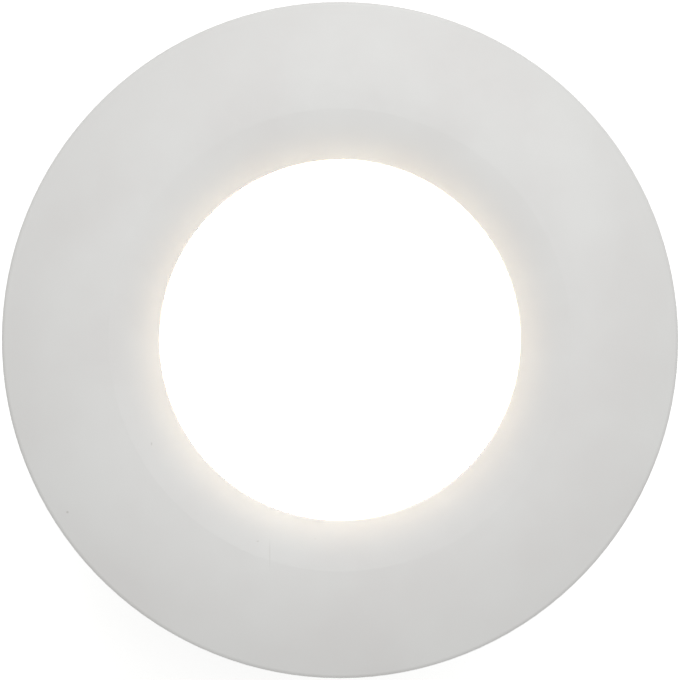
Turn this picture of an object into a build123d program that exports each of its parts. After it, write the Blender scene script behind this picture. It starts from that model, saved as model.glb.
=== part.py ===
from build123d import *
import os
from math import acos, atan2, cos, degrees, sin, sqrt

os.makedirs("parts", exist_ok=True)

# Small round in-ground light. A white trim ring screws down over an opal lens, into a frame on
# a finned cast housing that drops into a sleeve in the paving and is held by two sprung arms.
# Millimetres. The origin is on the light's axis at ground level, +Z points up out of the
# ground, and +X is the right of the face when it is seen from above with +Y at the top.

# Radii of the face, each wall outside the one before
window_d = 45.0  # window in the trim ring, filled by the lens
window_gap = 0.3  # round the lens in the window
ledge_w = 4.5  # lens rim that lies under the trim ring's lip
skirt_wall = 2.7  # skirt of the trim ring, which carries its thread
thread_gap = 0.3  # between the plain walls that stand for the thread
neck_wall = 3.0  # neck of the frame round the skirt
drop_gap = 2.3  # round the neck inside the sleeve
sleeve_wall = 2.2
collar_w = 2.0  # collar of the sleeve beyond its tube
rim_gap = 0.4  # round the collar inside the trim ring's rim
rim_wall = 2.6  # rim of the trim ring, which rests on the paving

window_r = window_d / 2
lens_r = window_r - window_gap
skirt_bore_r = window_r + ledge_w
skirt_r = skirt_bore_r + skirt_wall
mouth_r = skirt_r + thread_gap
neck_r = mouth_r + neck_wall
sleeve_bore_r = neck_r + drop_gap
sleeve_r = sleeve_bore_r + sleeve_wall
collar_r = sleeve_r + collar_w
rim_bore_r = collar_r + rim_gap
trim_r = rim_bore_r + rim_wall

# Section of the trim ring above the ground
crest_h = 5.0
lip_w = 6.5  # from the window to the crest
lip_fall = 0.8  # from the crest to the window
lip_round = 0.25
rim_fall = 2.0  # from the crest to the rim
rim_round = 0.6
foot_chamfer = 0.3
web_h = 0.5  # underside of the lip
seal_gap = 0.6  # between the frame's flange and the ring above it

# Stack under the trim ring, from the top down
flange_h = 1.0  # top of the frame's flange above the ground
flange_t = 3.2
flange_inset = 1.5  # of the flange from the collar's edge
seat_gasket_t = 1.0
collar_t = 3.0
thread_l = 5.0  # skirt below the top of the flange
slip_t = 0.5
lens_t = 3.0
lens_gasket_t = 1.0
shelf_t = 2.5  # shelf of the frame, which carries the lens
frame_seal_t = 0.5
plate_t = 3.0  # top plate of the housing under the frame
chamber_depth = 11.5  # light chamber below the lens gasket
floor_t = 6.0  # heat spreader between the light chamber and the driver
driver_room = 36.0  # driver cavity below the heat spreader
cap_t = 4.0
cable_room = 20.0  # for the cable to bend under its gland

recess_z = flange_h + seal_gap
flange_foot_z = flange_h - flange_t
collar_z = flange_foot_z - seat_gasket_t
skirt_foot_z = flange_h - thread_l
lens_rim_z = skirt_foot_z - slip_t
lens_foot_z = lens_rim_z - lens_t
shelf_z = lens_foot_z - lens_gasket_t
frame_foot_z = shelf_z - shelf_t
housing_top_z = frame_foot_z - frame_seal_t
plate_foot_z = housing_top_z - plate_t
floor_z = shelf_z - chamber_depth
roof_z = floor_z - floor_t
mouth_z = roof_z - driver_room
cap_foot_z = mouth_z - cap_t

# Lens
lens_step = 0.2  # edge of the lens below the edge of the lip
lens_crown = 1.0  # rise of the lens from its edge to its middle
lens_edge_round = 0.8
lens_rim_gap = 0.4

lens_edge_z = crest_h - lip_fall - lens_step
lens_crown_z = lens_edge_z + lens_crown
lens_bore_r = lens_r - lens_t
lens_rim_r = mouth_r - lens_rim_gap

# Mounting frame
shelf_w = 5.5  # lens shelf round the light chamber
frame_seal_inset = 0.4
frame_screw_count = 4
frame_screw_start = 45.0
frame_screw_l = 6.5
frame_sink = 0.2  # heads of the frame screws below the shelf

# Housing
can_wall = 2.5
cavity_wall = 3.0
frame_boss_r = 2.8
frame_boss_h = 3.0
fin_inset = 0.2  # of the fins from the top plate
fin_root_t = 1.9
fin_tip_t = 1.3
fin_pitch = 12.0  # degrees
fin_steps = 5  # fins each side of the middle one, on both flanks
fin_foot_h = 12.0  # plain can below the fins
fin_foot_slope = 6.0
edge_chamfer = 0.5

flange_r = collar_r - flange_inset
chamber_r = mouth_r - shelf_w
frame_screw_r = (chamber_r + mouth_r) / 2
can_r = chamber_r + can_wall
cavity_r = can_r - cavity_wall
fin_r = neck_r - fin_inset
fin_foot_z = mouth_z + fin_foot_h

# Seals
ring_seal_t = 1.5
ring_seal_inset = 3.0  # from the edge of the flange
ring_groove_w = 2.0
ring_groove_h = 1.2
seat_gasket_w = 2.4
cap_seal_t = 1.5
cap_groove_w = 2.0
seal_clear = 0.05

ring_seal_r = flange_r - ring_seal_inset
cap_seal_r = cavity_r - seal_clear - cap_seal_t / 2
cap_groove_r = cap_seal_r - cap_seal_t / 2 - seal_clear

# Screws: nominal thread, and the clearances of their holes
frame_screw_d = 2.5
board_screw_d = 3.0
driver_screw_d = 3.0
cap_screw_d = 3.0
bracket_screw_d = 2.5
earth_screw_d = 4.0
flat_head_share = 0.92  # radius of a flat head over its thread
tap_clear = 0.05
pass_clear = 0.2

frame_head_r = flat_head_share * frame_screw_d

# Light chamber
pad_t = 0.3  # thermal pad
led_board_t = 1.6
led_board_gap = 0.7
led_l = 3.5
led_w = 2.8
led_h = 0.7
led_ring_r = 8.6
led_ring_count = 9
led_core_r = 3.4
led_core_count = 3
led_core_start = 30.0
led_taper = 10.0
reflector_foot_r = 12.5
reflector_foot_h = 0.8
reflector_foot_w = 1.7
reflector_wall = 1.0
reflector_rim_h = 1.0
reflector_gap = 0.3
board_screw_inset = 3.5
board_screw_count = 3
board_screw_start = 60.0
board_screw_bite = 3.0  # into the heat spreader

led_board_r = chamber_r - led_board_gap
led_foot_z = floor_z + pad_t
led_top_z = led_foot_z + led_board_t
reflector_r = chamber_r - reflector_gap
reflector_z = lens_foot_z - reflector_gap
board_screw_r = led_board_r - board_screw_inset

# Leads from the LED board down through the heat spreader
lead_d = 1.2
lead_pitch = 2.2
lead_inset = 3.5  # from the wall of the driver cavity
lead_run = 5.0  # along the LED board
lead_bend = 1.7
lead_seat = 0.05
grommet_r = 2.4
grommet_flange_w = 0.7
grommet_flange_t = 0.8
grommet_clear = 0.05
grommet_room = 0.3  # to the notch in the LED board

lead_x = cavity_r - lead_inset
grommet_flange_r = grommet_r + grommet_flange_w
notch_r = grommet_flange_r + grommet_room

# Driver
post_r = 3.0
post_h = 8.0
post_pitch_r = 16.0
post_count = 3
post_start = 90.0
driver_screw_bite = 4.0  # into the posts
driver_board_t = 1.6
liner_gap = 0.4
liner_wall = 0.8
liner_top_gap = 1.2
liner_lift = 4.0  # foot of the liner above the mouth of the cavity
board_liner_gap = 0.4

post_foot_z = roof_z - post_h
driver_z = post_foot_z - driver_board_t
liner_r = cavity_r - liner_gap
liner_bore_r = liner_r - liner_wall
driver_board_r = liner_bore_r - board_liner_gap

# Parts that hang from the driver board
core_w = 16.0
core_h = 13.0
core_t = 5.0
core_leg = 3.2
winding_r = 5.4
transformer_edge = 4.4  # from the side of the core to the edge of the board
transformer_y = 5.5
input_can_d = 10.0
input_can_h = 16.0
input_can_x = 8.5
input_can_y = 8.0
output_can_d = 8.0
output_can_h = 12.0
output_can_edge = 2.4
output_can_y = -0.5
choke_d = 8.0
choke_h = 9.0
choke_cheek = 1.5
choke_waist = 0.8
choke_edge = 3.9
chip_h = 1.6
chip_taper = 8.0
chip_l = 4.4
chip_w = 4.0
chip_places = ((-10.0, 14.8), (-7.5, -15.0))
diode_l = 3.0
diode_w = 2.0
diode_places = ((-18.5, -2.5), (8.0, -14.5))
terminal_ways = 3
terminal_pitch = 5.0
terminal_w = 7.5
terminal_h = 10.0
terminal_foot_t = 2.0
terminal_hole_r = 1.3
terminal_gap = 0.5
terminal_y = -5.5

transformer_x = core_w / 2 + transformer_edge - driver_board_r
output_can_x = driver_board_r - output_can_edge - output_can_d / 2
choke_y = choke_edge + choke_d / 2 - driver_board_r

# Rear cap
spigot_gap = 0.3
spigot_wall = 3.2
lug_r = 3.4
lug_out = 1.6  # screw axes beyond the can
lug_h = 10.0
lug_count = 4
lug_start = 45.0
cap_screw_bite = 7.0  # into the lugs
cap_boss_r = 11.5
cap_boss_h = 2.0
cap_chamfer = 0.8
tag_edge = 4.5  # from the earth tag to the wall of the spigot
tag_r = 4.2
tag_t = 0.8
tag_l = 7.7  # of the tag's tail from the screw
tag_w = 4.2
tag_hole_r = 2.1

spigot_r = cavity_r - spigot_gap
spigot_h = liner_lift - spigot_gap
earth_x = tag_edge + tag_r - spigot_r
lug_pitch_r = can_r + lug_out
boss_foot_z = cap_foot_z - cap_boss_h

# Cable gland
cable_d = 7.0
seal_wall = 2.6
gland_thread_r = 8.0
gland_bore_r = 4.6
gland_af = 20.0
gland_hex_h = 6.0
gland_washer_t = 1.5
gland_washer_w = 2.3
gland_tail_l = 9.0
gland_tail_wall = 1.4
gland_nose_l = 1.5  # thread that stands inside the cap
seal_pocket_gap = 0.1
seal_taper = 2.3
nut_gap = 0.7
nut_hex_h = 7.0
nut_dome_h = 6.8
nut_clear = 0.1
nut_hole_r = 5.0

seal_r = cable_d / 2 + seal_wall
pocket_r = seal_r + seal_pocket_gap
tail_r = pocket_r + gland_tail_wall
hex_top_z = boss_foot_z - gland_washer_t
hex_foot_z = hex_top_z - gland_hex_h
tail_foot_z = hex_foot_z - gland_tail_l
nut_top_z = hex_foot_z - nut_gap
dome_z = nut_top_z - nut_hex_h
nut_foot_z = dome_z - nut_dome_h
sleeve_foot_z = nut_foot_z - cable_room

# Sleeve
arch_w = 14.0
arch_h = 20.0
lead_in = 0.6
key_count = 6  # grooves that key the sleeve into the ground
key_pitch = 13.0
key_w = 2.4
key_depth = 0.6
collar_foot_z = collar_z - collar_t
arch_top_z = sleeve_foot_z + arch_h

# Spring clips, given for the one on the right
arm_w = 12.0
arm_t = 0.75
arm_l = 21.0
arm_hook_r = 3.0
arm_hook_turn = 50.0
curl_turn = 300.0
grip_gap = 0.4  # between the grip and the wall of the sleeve
grip_t = 1.2
grip_l = 7.0
grip_lift = 0.5  # from the start of the hook
mount_pad_h = 1.4
mount_pad_w = 16.0
bracket_t = 0.8
bracket_gap = 0.4
ear_gap = 0.6
ear_r = 2.2
pin_r = 0.9
pin_clear = 0.05
pin_head_r = 1.5
pin_head_t = 0.6
pin_drop = 7.0  # pin below the top of the bracket
curl_gap = 0.3
arm_recess = 1.2  # flat on the can behind the arm
bracket_screw_drop = 2.2
bracket_screw_pitch = 7.2
bracket_screw_l = 3.6
spring_wire_d = 0.8
spring_clear = 0.15
spring_turns = 3
spring_pitch = 0.95
spring_window = 5.8  # window in the arm round its spring
slot_l = 5.4  # foot of that window below the pin
spring_arm_leg = 6.0
spring_base_leg = 2.0

curl_r = pin_r + pin_clear + arm_t
curl_mid_r = curl_r - arm_t / 2
pad_x = can_r + mount_pad_h
pin_x = pad_x + bracket_t + curl_gap + curl_r
bracket_top_z = plate_foot_z - bracket_gap
pin_z = bracket_top_z - pin_drop
bracket_foot_z = pin_z - ear_r - bracket_gap / 2
pad_foot_z = bracket_foot_z - bracket_gap
grip_x = sqrt(sleeve_bore_r**2 - (arm_w / 2) ** 2) - grip_gap
arm_foot_x = grip_x - grip_t - arm_t / 2
ear_y = arm_w / 2 + ear_gap
pin_l = 2 * (ear_y + bracket_t)


def pan_screw(thread_d, shank_l):
    """A pan-head screw with a plain shank, its head standing on z = 0 and its shank below."""
    head_r = 0.93 * thread_d
    head_h = 0.72 * thread_d
    head_edge = 0.24 * thread_d
    with BuildPart() as screw:
        with BuildSketch(Plane.XZ) as half:
            with BuildLine():
                Polyline(
                    (0, -shank_l),
                    (thread_d / 2, -shank_l),
                    (thread_d / 2, 0),
                    (head_r, 0),
                    (head_r, head_h),
                    (0, head_h),
                    close=True,
                )
            make_face()
            chamfer(half.vertices().group_by(Axis.X)[-1].group_by(Axis.Y)[-1], head_edge)
        revolve(axis=Axis.Z)
    return screw.part


def flat_screw(thread_d, head_r, length):
    """A countersunk screw, the flat of its head at z = 0 and its shank below."""
    cone_h = head_r - thread_d / 2
    with BuildPart() as screw:
        with BuildSketch(Plane.XZ):
            with BuildLine():
                Polyline(
                    (0, -length),
                    (thread_d / 2, -length),
                    (thread_d / 2, -cone_h),
                    (head_r, 0),
                    (0, 0),
                    close=True,
                )
            make_face()
        revolve(axis=Axis.Z)
    return screw.part


def capacitor(can_d, can_h):
    """A round capacitor that hangs from z = 0, with the groove rolled in near its board end."""
    groove_d = 0.08 * can_d
    roll_h = 0.12 * can_h
    with BuildPart() as body:
        with BuildSketch(Plane.XZ):
            with BuildLine():
                Polyline(
                    (0, 0),
                    (can_d / 2, 0),
                    (can_d / 2, -roll_h),
                    (can_d / 2 - groove_d, -roll_h - groove_d),
                    (can_d / 2, -roll_h - 2 * groove_d),
                    (can_d / 2, -can_h + groove_d),
                    (can_d / 2 - groove_d, -can_h),
                    (0, -can_h),
                    close=True,
                )
            make_face()
        revolve(axis=Axis.Z)
    return body.part


# Sleeve: open tube with a collar, keying grooves, and an arch each side for the cable
with BuildPart() as sleeve:
    with BuildSketch(Plane.XZ) as wall:
        with BuildLine():
            Polyline(
                (sleeve_bore_r, sleeve_foot_z),
                (sleeve_r, sleeve_foot_z),
                (sleeve_r, collar_foot_z),
                (collar_r, collar_foot_z),
                (collar_r, collar_z),
                (sleeve_bore_r, collar_z),
                close=True,
            )
        make_face()
        chamfer(wall.vertices().group_by(Axis.X)[0].group_by(Axis.Y)[-1], lead_in)
        chamfer(wall.vertices().group_by(Axis.X)[-1], foot_chamfer)
    revolve(axis=Axis.Z)
    with BuildSketch(Plane.XZ):
        with Locations((sleeve_r, (collar_foot_z + arch_top_z) / 2)):
            with GridLocations(1, key_pitch, 1, key_count):
                Rectangle(2 * key_depth, key_w)
    revolve(axis=Axis.Z, mode=Mode.SUBTRACT)
    with BuildSketch(Plane.XZ):
        with Locations((0, sleeve_foot_z)):
            Rectangle(arch_w, 2 * (arch_h - arch_w / 2))
        with Locations((0, arch_top_z - arch_w / 2)):
            Circle(arch_w / 2)
    extrude(amount=collar_r, both=True, mode=Mode.SUBTRACT)
sleeve.part.label = "sleeve"
export_step(sleeve.part, "parts/sleeve.step")

# Flat gasket between the collar and the flange
with BuildPart() as seat_gasket:
    with BuildSketch(Plane.XY.offset(collar_z)):
        Circle(flange_r)
        Circle(flange_r - seat_gasket_w, mode=Mode.SUBTRACT)
    extrude(amount=seat_gasket_t)
seat_gasket.part.label = "seat_gasket"
export_step(seat_gasket.part, "parts/seat_gasket.step")

# Trim ring: short inner lip, crest, and a long shallow dome out to the rim
with BuildPart() as trim_ring:
    with BuildSketch(Plane.XZ) as ring_section:
        with BuildLine():
            TangentArc(
                (window_r + lip_w, crest_h),
                (window_r, crest_h - lip_fall),
                tangent=(-1, 0),
            )
            TangentArc(
                (window_r + lip_w, crest_h),
                (trim_r, crest_h - rim_fall),
                tangent=(1, 0),
            )
            Polyline(
                (trim_r, crest_h - rim_fall),
                (trim_r, 0),
                (rim_bore_r, 0),
                (rim_bore_r, recess_z),
                (skirt_r, recess_z),
                (skirt_r, skirt_foot_z),
                (skirt_bore_r, skirt_foot_z),
                (skirt_bore_r, web_h),
                (window_r, web_h),
                (window_r, crest_h - lip_fall),
            )
        make_face()
        rim_corners = ring_section.vertices().group_by(Axis.X)[-1].sort_by(Axis.Y)
        fillet(rim_corners[-1], rim_round)
        fillet(ring_section.vertices().group_by(Axis.X)[0].sort_by(Axis.Y)[-1], lip_round)
        chamfer(rim_corners[0], foot_chamfer)
        chamfer(
            ring_section.vertices().group_by(Axis.Y)[0].group_by(Axis.X)[-1],
            foot_chamfer,
        )
    revolve(axis=Axis.Z)
trim_ring.part.label = "trim_ring"
export_step(trim_ring.part, "parts/trim_ring.step")

# Washer that lets the skirt turn on the lens rim
with BuildPart() as slip_washer:
    with BuildSketch(Plane.XY.offset(lens_rim_z)):
        Circle(skirt_r - foot_chamfer)
        Circle(skirt_bore_r, mode=Mode.SUBTRACT)
    extrude(amount=slip_t)
slip_washer.part.label = "slip_washer"
export_step(slip_washer.part, "parts/slip_washer.step")

# Lens: a top-hat moulding of even wall with a low crown
with BuildPart() as lens:
    with BuildSketch(Plane.XZ) as hat:
        with BuildLine():
            TangentArc((0, lens_crown_z), (lens_r, lens_edge_z), tangent=(1, 0))
            Polyline(
                (lens_r, lens_edge_z),
                (lens_r, lens_rim_z),
                (lens_rim_r, lens_rim_z),
                (lens_rim_r, lens_foot_z),
                (lens_bore_r, lens_foot_z),
                (lens_bore_r, lens_edge_z - lens_t),
            )
            TangentArc(
                (0, lens_crown_z - lens_t),
                (lens_bore_r, lens_edge_z - lens_t),
                tangent=(1, 0),
            )
            Line((0, lens_crown_z - lens_t), (0, lens_crown_z))
        make_face()
        lens_corners = hat.vertices().filter_by_position(Axis.Y, lens_edge_z, lens_edge_z)
        fillet(lens_corners, lens_edge_round)
    revolve(axis=Axis.Z)
lens.part.label = "lens"
export_step(lens.part, "parts/lens.step")

# Gasket under the lens rim
with BuildPart() as lens_gasket:
    with BuildSketch(Plane.XY.offset(shelf_z)):
        Circle(lens_rim_r)
        Circle(chamber_r + lens_rim_gap, mode=Mode.SUBTRACT)
    extrude(amount=lens_gasket_t)
lens_gasket.part.label = "lens_gasket"
export_step(lens_gasket.part, "parts/lens_gasket.step")

# Mounting frame: flange, threaded neck and the shelf that carries the lens
with BuildPart() as mounting_frame:
    with BuildSketch(Plane.XZ) as frame_section:
        with BuildLine():
            Polyline(
                (chamber_r, frame_foot_z),
                (neck_r, frame_foot_z),
                (neck_r, flange_foot_z),
                (flange_r, flange_foot_z),
                (flange_r, flange_h),
                (mouth_r, flange_h),
                (mouth_r, shelf_z),
                (chamber_r, shelf_z),
                close=True,
            )
        make_face()
        chamfer(frame_section.vertices().group_by(Axis.X)[-1], edge_chamfer)
    revolve(axis=Axis.Z)
    with BuildSketch(Plane.XZ):
        with Locations((ring_seal_r, flange_h)):
            Rectangle(ring_groove_w, 2 * ring_groove_h)
    revolve(axis=Axis.Z, mode=Mode.SUBTRACT)
    with Locations((0, 0, shelf_z)):
        with PolarLocations(frame_screw_r, frame_screw_count, start_angle=frame_screw_start):
            CounterSinkHole(
                frame_screw_d / 2 + pass_clear,
                frame_head_r + frame_sink,
                depth=shelf_t,
                counter_sink_angle=90,
            )
mounting_frame.part.label = "mounting_frame"
export_step(mounting_frame.part, "parts/mounting_frame.step")

frame_screw = flat_screw(frame_screw_d, frame_head_r, frame_screw_l)
with BuildPart() as frame_screws:
    with Locations((0, 0, shelf_z - frame_sink)):
        with PolarLocations(frame_screw_r, frame_screw_count, start_angle=frame_screw_start):
            add(frame_screw)
frame_screws.part.label = "frame_screws"
export_step(frame_screws.part, "parts/frame_screws.step")

# Flat seal between the frame and the housing
with BuildPart() as frame_seal:
    with BuildSketch(Plane.XY.offset(housing_top_z)):
        Circle(neck_r - frame_seal_inset)
        Circle(chamber_r + frame_seal_inset, mode=Mode.SUBTRACT)
        with PolarLocations(frame_screw_r, frame_screw_count, start_angle=frame_screw_start):
            Circle(frame_screw_d / 2 + pass_clear, mode=Mode.SUBTRACT)
    extrude(amount=frame_seal_t)
frame_seal.part.label = "frame_seal"
export_step(frame_seal.part, "parts/frame_seal.step")

# Housing: top plate, light chamber, heat spreader and driver can
with BuildPart() as housing:
    with BuildSketch(Plane.XZ) as shell:
        with BuildLine():
            Polyline(
                (0, floor_z),
                (chamber_r, floor_z),
                (chamber_r, housing_top_z),
                (neck_r, housing_top_z),
                (neck_r, plate_foot_z),
                (can_r, plate_foot_z),
                (can_r, mouth_z),
                (cavity_r, mouth_z),
                (cavity_r, roof_z),
                (0, roof_z),
                close=True,
            )
        make_face()
        chamfer(shell.vertices().group_by(Axis.X)[-1], edge_chamfer)
    revolve(axis=Axis.Z)

    # Bosses for the frame screws
    with BuildSketch(Plane.XY.offset(plate_foot_z - frame_boss_h)):
        with PolarLocations(frame_screw_r, frame_screw_count, start_angle=frame_screw_start):
            Circle(frame_boss_r)
        Circle(can_r - can_wall / 2, mode=Mode.SUBTRACT)
    extrude(amount=frame_boss_h)

    # Flats that make room for the folded arms
    with BuildSketch(Plane.XY.offset(fin_foot_z)):
        with Locations((can_r, 0), (-can_r, 0)):
            Rectangle(2 * arm_recess, mount_pad_w)
    extrude(amount=pad_foot_z - fin_foot_z, mode=Mode.SUBTRACT)

    # Pads that carry the clip brackets
    with BuildSketch(Plane.XY.offset(pad_foot_z)):
        with Locations((pad_x, 0)):
            Rectangle(pad_x - chamber_r, mount_pad_w, align=(Align.MAX, Align.CENTER))
        with Locations((-pad_x, 0)):
            Rectangle(pad_x - chamber_r, mount_pad_w, align=(Align.MIN, Align.CENTER))
        Circle(chamber_r + can_wall / 2, mode=Mode.SUBTRACT)
    extrude(amount=plate_foot_z - pad_foot_z)

    # Cooling fins on both flanks, trimmed to a slope at the foot
    fin_sweep = 2 * fin_steps * fin_pitch
    with BuildSketch(Plane.XY.offset(fin_foot_z)):
        for flank in (90, 270):
            with PolarLocations(
                0,
                2 * fin_steps + 1,
                start_angle=flank - fin_sweep / 2,
                angular_range=fin_sweep,
                endpoint=True,
            ):
                Polygon(
                    (can_r - can_wall / 2, -fin_root_t / 2),
                    (fin_r, -fin_tip_t / 2),
                    (fin_r, fin_tip_t / 2),
                    (can_r - can_wall / 2, fin_root_t / 2),
                )
    extrude(amount=plate_foot_z - fin_foot_z)
    with BuildSketch(Plane.XZ):
        Polygon(
            (can_r, fin_foot_z),
            (neck_r, fin_foot_z),
            (neck_r, fin_foot_z + fin_foot_slope),
        )
    revolve(axis=Axis.Z, mode=Mode.SUBTRACT)

    # Lugs for the cap screws
    with BuildSketch(Plane.XY.offset(mouth_z)):
        with PolarLocations(lug_pitch_r, lug_count, start_angle=lug_start):
            Circle(lug_r)
        Circle(can_r - cavity_wall / 2, mode=Mode.SUBTRACT)
    extrude(amount=lug_h)
    with BuildSketch(Plane.XY.offset(mouth_z)):
        with PolarLocations(lug_pitch_r, lug_count, start_angle=lug_start):
            Circle(cap_screw_d / 2 + tap_clear)
    extrude(amount=lug_h - edge_chamfer, mode=Mode.SUBTRACT)

    # Posts that hang from the heat spreader and carry the driver board
    with BuildSketch(Plane.XY.offset(post_foot_z)):
        with PolarLocations(post_pitch_r, post_count, start_angle=post_start):
            Circle(post_r)
    extrude(amount=post_h)
    with BuildSketch(Plane.XY.offset(post_foot_z)):
        with PolarLocations(post_pitch_r, post_count, start_angle=post_start):
            Circle(driver_screw_d / 2 + tap_clear)
    extrude(amount=post_h, mode=Mode.SUBTRACT)

    # Holes for the frame screws, the LED board screws and the leads
    with Locations((0, 0, housing_top_z)):
        with PolarLocations(frame_screw_r, frame_screw_count, start_angle=frame_screw_start):
            Hole(
                frame_screw_d / 2 + tap_clear,
                depth=frame_screw_l + frame_sink - shelf_t - frame_seal_t + edge_chamfer,
            )
    with Locations((0, 0, floor_z)):
        with PolarLocations(board_screw_r, board_screw_count, start_angle=board_screw_start):
            Hole(board_screw_d / 2 + tap_clear, depth=board_screw_bite + edge_chamfer)
    with Locations((lead_x, 0, floor_z)):
        Hole(grommet_r, depth=floor_t)

    # Tapped holes in the pads
    for side in (1, -1):
        with Locations(Plane((side * pad_x, 0, 0), x_dir=(0, 1, 0), z_dir=(side, 0, 0))):
            with Locations((0, side * (bracket_top_z - bracket_screw_drop))):
                with GridLocations(bracket_screw_pitch, 1, 2, 1):
                    Hole(
                        bracket_screw_d / 2 + tap_clear,
                        depth=bracket_screw_l - bracket_t + tap_clear,
                    )
housing.part.label = "housing"
export_step(housing.part, "parts/housing.step")

# Ring seal in the flange's groove, under the trim ring
with BuildPart() as ring_seal:
    with Locations((0, 0, flange_h - ring_groove_h + ring_seal_t / 2)):
        Torus(ring_seal_r, ring_seal_t / 2)
ring_seal.part.label = "ring_seal"
export_step(ring_seal.part, "parts/ring_seal.step")

# Thermal pad and LED board share an outline with a notch for the grommet
with BuildSketch() as board_outline:
    Circle(led_board_r)
    with Locations((lead_x, 0)):
        Circle(notch_r, mode=Mode.SUBTRACT)
        Rectangle(
            2 * lead_inset, 2 * notch_r, align=(Align.MIN, Align.CENTER), mode=Mode.SUBTRACT
        )
    with PolarLocations(board_screw_r, board_screw_count, start_angle=board_screw_start):
        Circle(board_screw_d / 2 + pass_clear, mode=Mode.SUBTRACT)

with BuildPart() as thermal_pad:
    with BuildSketch(Plane.XY.offset(floor_z)):
        add(board_outline.sketch)
    extrude(amount=pad_t)
thermal_pad.part.label = "thermal_pad"
export_step(thermal_pad.part, "parts/thermal_pad.step")

with BuildPart() as led_board:
    with BuildSketch(Plane.XY.offset(led_foot_z)):
        add(board_outline.sketch)
    extrude(amount=led_board_t)
led_board.part.label = "led_board"
export_step(led_board.part, "parts/led_board.step")

# LED packages in two rings
with BuildPart() as led_chips:
    with BuildSketch(Plane.XY.offset(led_top_z)):
        with PolarLocations(led_ring_r, led_ring_count):
            Rectangle(led_w, led_l)
        with PolarLocations(led_core_r, led_core_count, start_angle=led_core_start):
            Rectangle(led_w, led_l)
    extrude(amount=led_h, taper=led_taper)
led_chips.part.label = "led_chips"
export_step(led_chips.part, "parts/led_chips.step")

# Screws of the LED board
board_screw = pan_screw(board_screw_d, pad_t + led_board_t + board_screw_bite)
with BuildPart() as board_screws:
    with Locations((0, 0, led_top_z)):
        with PolarLocations(board_screw_r, board_screw_count, start_angle=board_screw_start):
            add(board_screw)
board_screws.part.label = "board_screws"
export_step(board_screws.part, "parts/board_screws.step")

# Reflector: white cone from the LED board up to the lens
with BuildPart() as reflector:
    with BuildSketch(Plane.XZ):
        with BuildLine():
            Polyline(
                (reflector_foot_r, led_top_z),
                (reflector_foot_r + reflector_foot_w, led_top_z),
                (reflector_foot_r + reflector_foot_w, led_top_z + reflector_foot_h),
                (reflector_r, reflector_z - reflector_rim_h),
                (reflector_r, reflector_z),
                (reflector_r - reflector_wall, reflector_z),
                (reflector_foot_r, led_top_z + reflector_foot_h),
                close=True,
            )
        make_face()
    revolve(axis=Axis.Z)
reflector.part.label = "reflector"
export_step(reflector.part, "parts/reflector.step")

# Grommet in the heat spreader, with a hole for each lead
with BuildPart() as lead_grommet:
    with BuildSketch(Plane.XY.offset(roof_z - grommet_flange_t)):
        with Locations((lead_x, 0)):
            Circle(grommet_flange_r)
    extrude(amount=grommet_flange_t)
    with BuildSketch(Plane.XY.offset(roof_z)):
        with Locations((lead_x, 0)):
            Circle(grommet_r - grommet_clear)
    extrude(amount=floor_t)
    with BuildSketch(Plane.XY.offset(floor_z)):
        with Locations((lead_x, 0)):
            Circle(grommet_flange_r)
    extrude(amount=grommet_flange_t)
    with Locations((lead_x, 0, floor_z + grommet_flange_t)):
        with GridLocations(1, lead_pitch, 1, 2):
            Hole(lead_d / 2 + grommet_clear)
lead_grommet.part.label = "lead_grommet"
export_step(lead_grommet.part, "parts/lead_grommet.step")

# Two leads, soldered to the LED board and to the driver board
lead_z = led_top_z + lead_d / 2 + lead_seat
with BuildPart() as led_leads:
    for y in (-lead_pitch / 2, lead_pitch / 2):
        with BuildLine() as lead_path:
            FilletPolyline(
                (lead_x - lead_run, y, lead_z),
                (lead_x, y, lead_z),
                (lead_x, y, post_foot_z),
                radius=lead_bend,
            )
        with BuildSketch(Plane((lead_x - lead_run, y, lead_z), z_dir=(1, 0, 0))):
            Circle(lead_d / 2)
        sweep(path=lead_path.wires()[0])
led_leads.part.label = "led_leads"
export_step(led_leads.part, "parts/led_leads.step")

# Liner that keeps the driver off the metal
with BuildPart() as driver_liner:
    with BuildSketch(Plane.XY.offset(mouth_z + liner_lift)):
        Circle(liner_r)
        Circle(liner_bore_r, mode=Mode.SUBTRACT)
    extrude(amount=driver_room - liner_lift - liner_top_gap)
driver_liner.part.label = "driver_liner"
export_step(driver_liner.part, "parts/driver_liner.step")

# Driver board, its parts hanging below it
with BuildPart() as driver_board:
    with BuildSketch(Plane.XY.offset(driver_z)):
        Circle(driver_board_r)
        with PolarLocations(post_pitch_r, post_count, start_angle=post_start):
            Circle(driver_screw_d / 2 + pass_clear, mode=Mode.SUBTRACT)
    extrude(amount=driver_board_t)
driver_board.part.label = "driver_board"
export_step(driver_board.part, "parts/driver_board.step")

driver_screw = pan_screw(driver_screw_d, driver_board_t + driver_screw_bite)
with BuildPart() as driver_screws:
    with Locations((0, 0, driver_z)):
        with PolarLocations(post_pitch_r, post_count, start_angle=post_start):
            add(driver_screw, rotation=(180, 0, 0))
driver_screws.part.label = "driver_screws"
export_step(driver_screws.part, "parts/driver_screws.step")

# Transformer: core with its winding between the two legs
with BuildPart() as transformer:
    with BuildSketch(Plane.XZ.offset(-transformer_y - core_t / 2)):
        with Locations((transformer_x, driver_z - core_h / 2)):
            Rectangle(core_w, core_h)
            Rectangle(core_w - 2 * core_leg, core_h - 2 * core_leg, mode=Mode.SUBTRACT)
    extrude(amount=core_t)
    with BuildSketch(Plane.XY.offset(driver_z - core_h + core_leg)):
        with Locations((transformer_x, transformer_y)):
            RectangleRounded(core_w - 2 * core_leg, 2 * winding_r, core_leg)
    extrude(amount=core_h - 2 * core_leg)
transformer.part.label = "transformer"
export_step(transformer.part, "parts/transformer.step")

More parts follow.
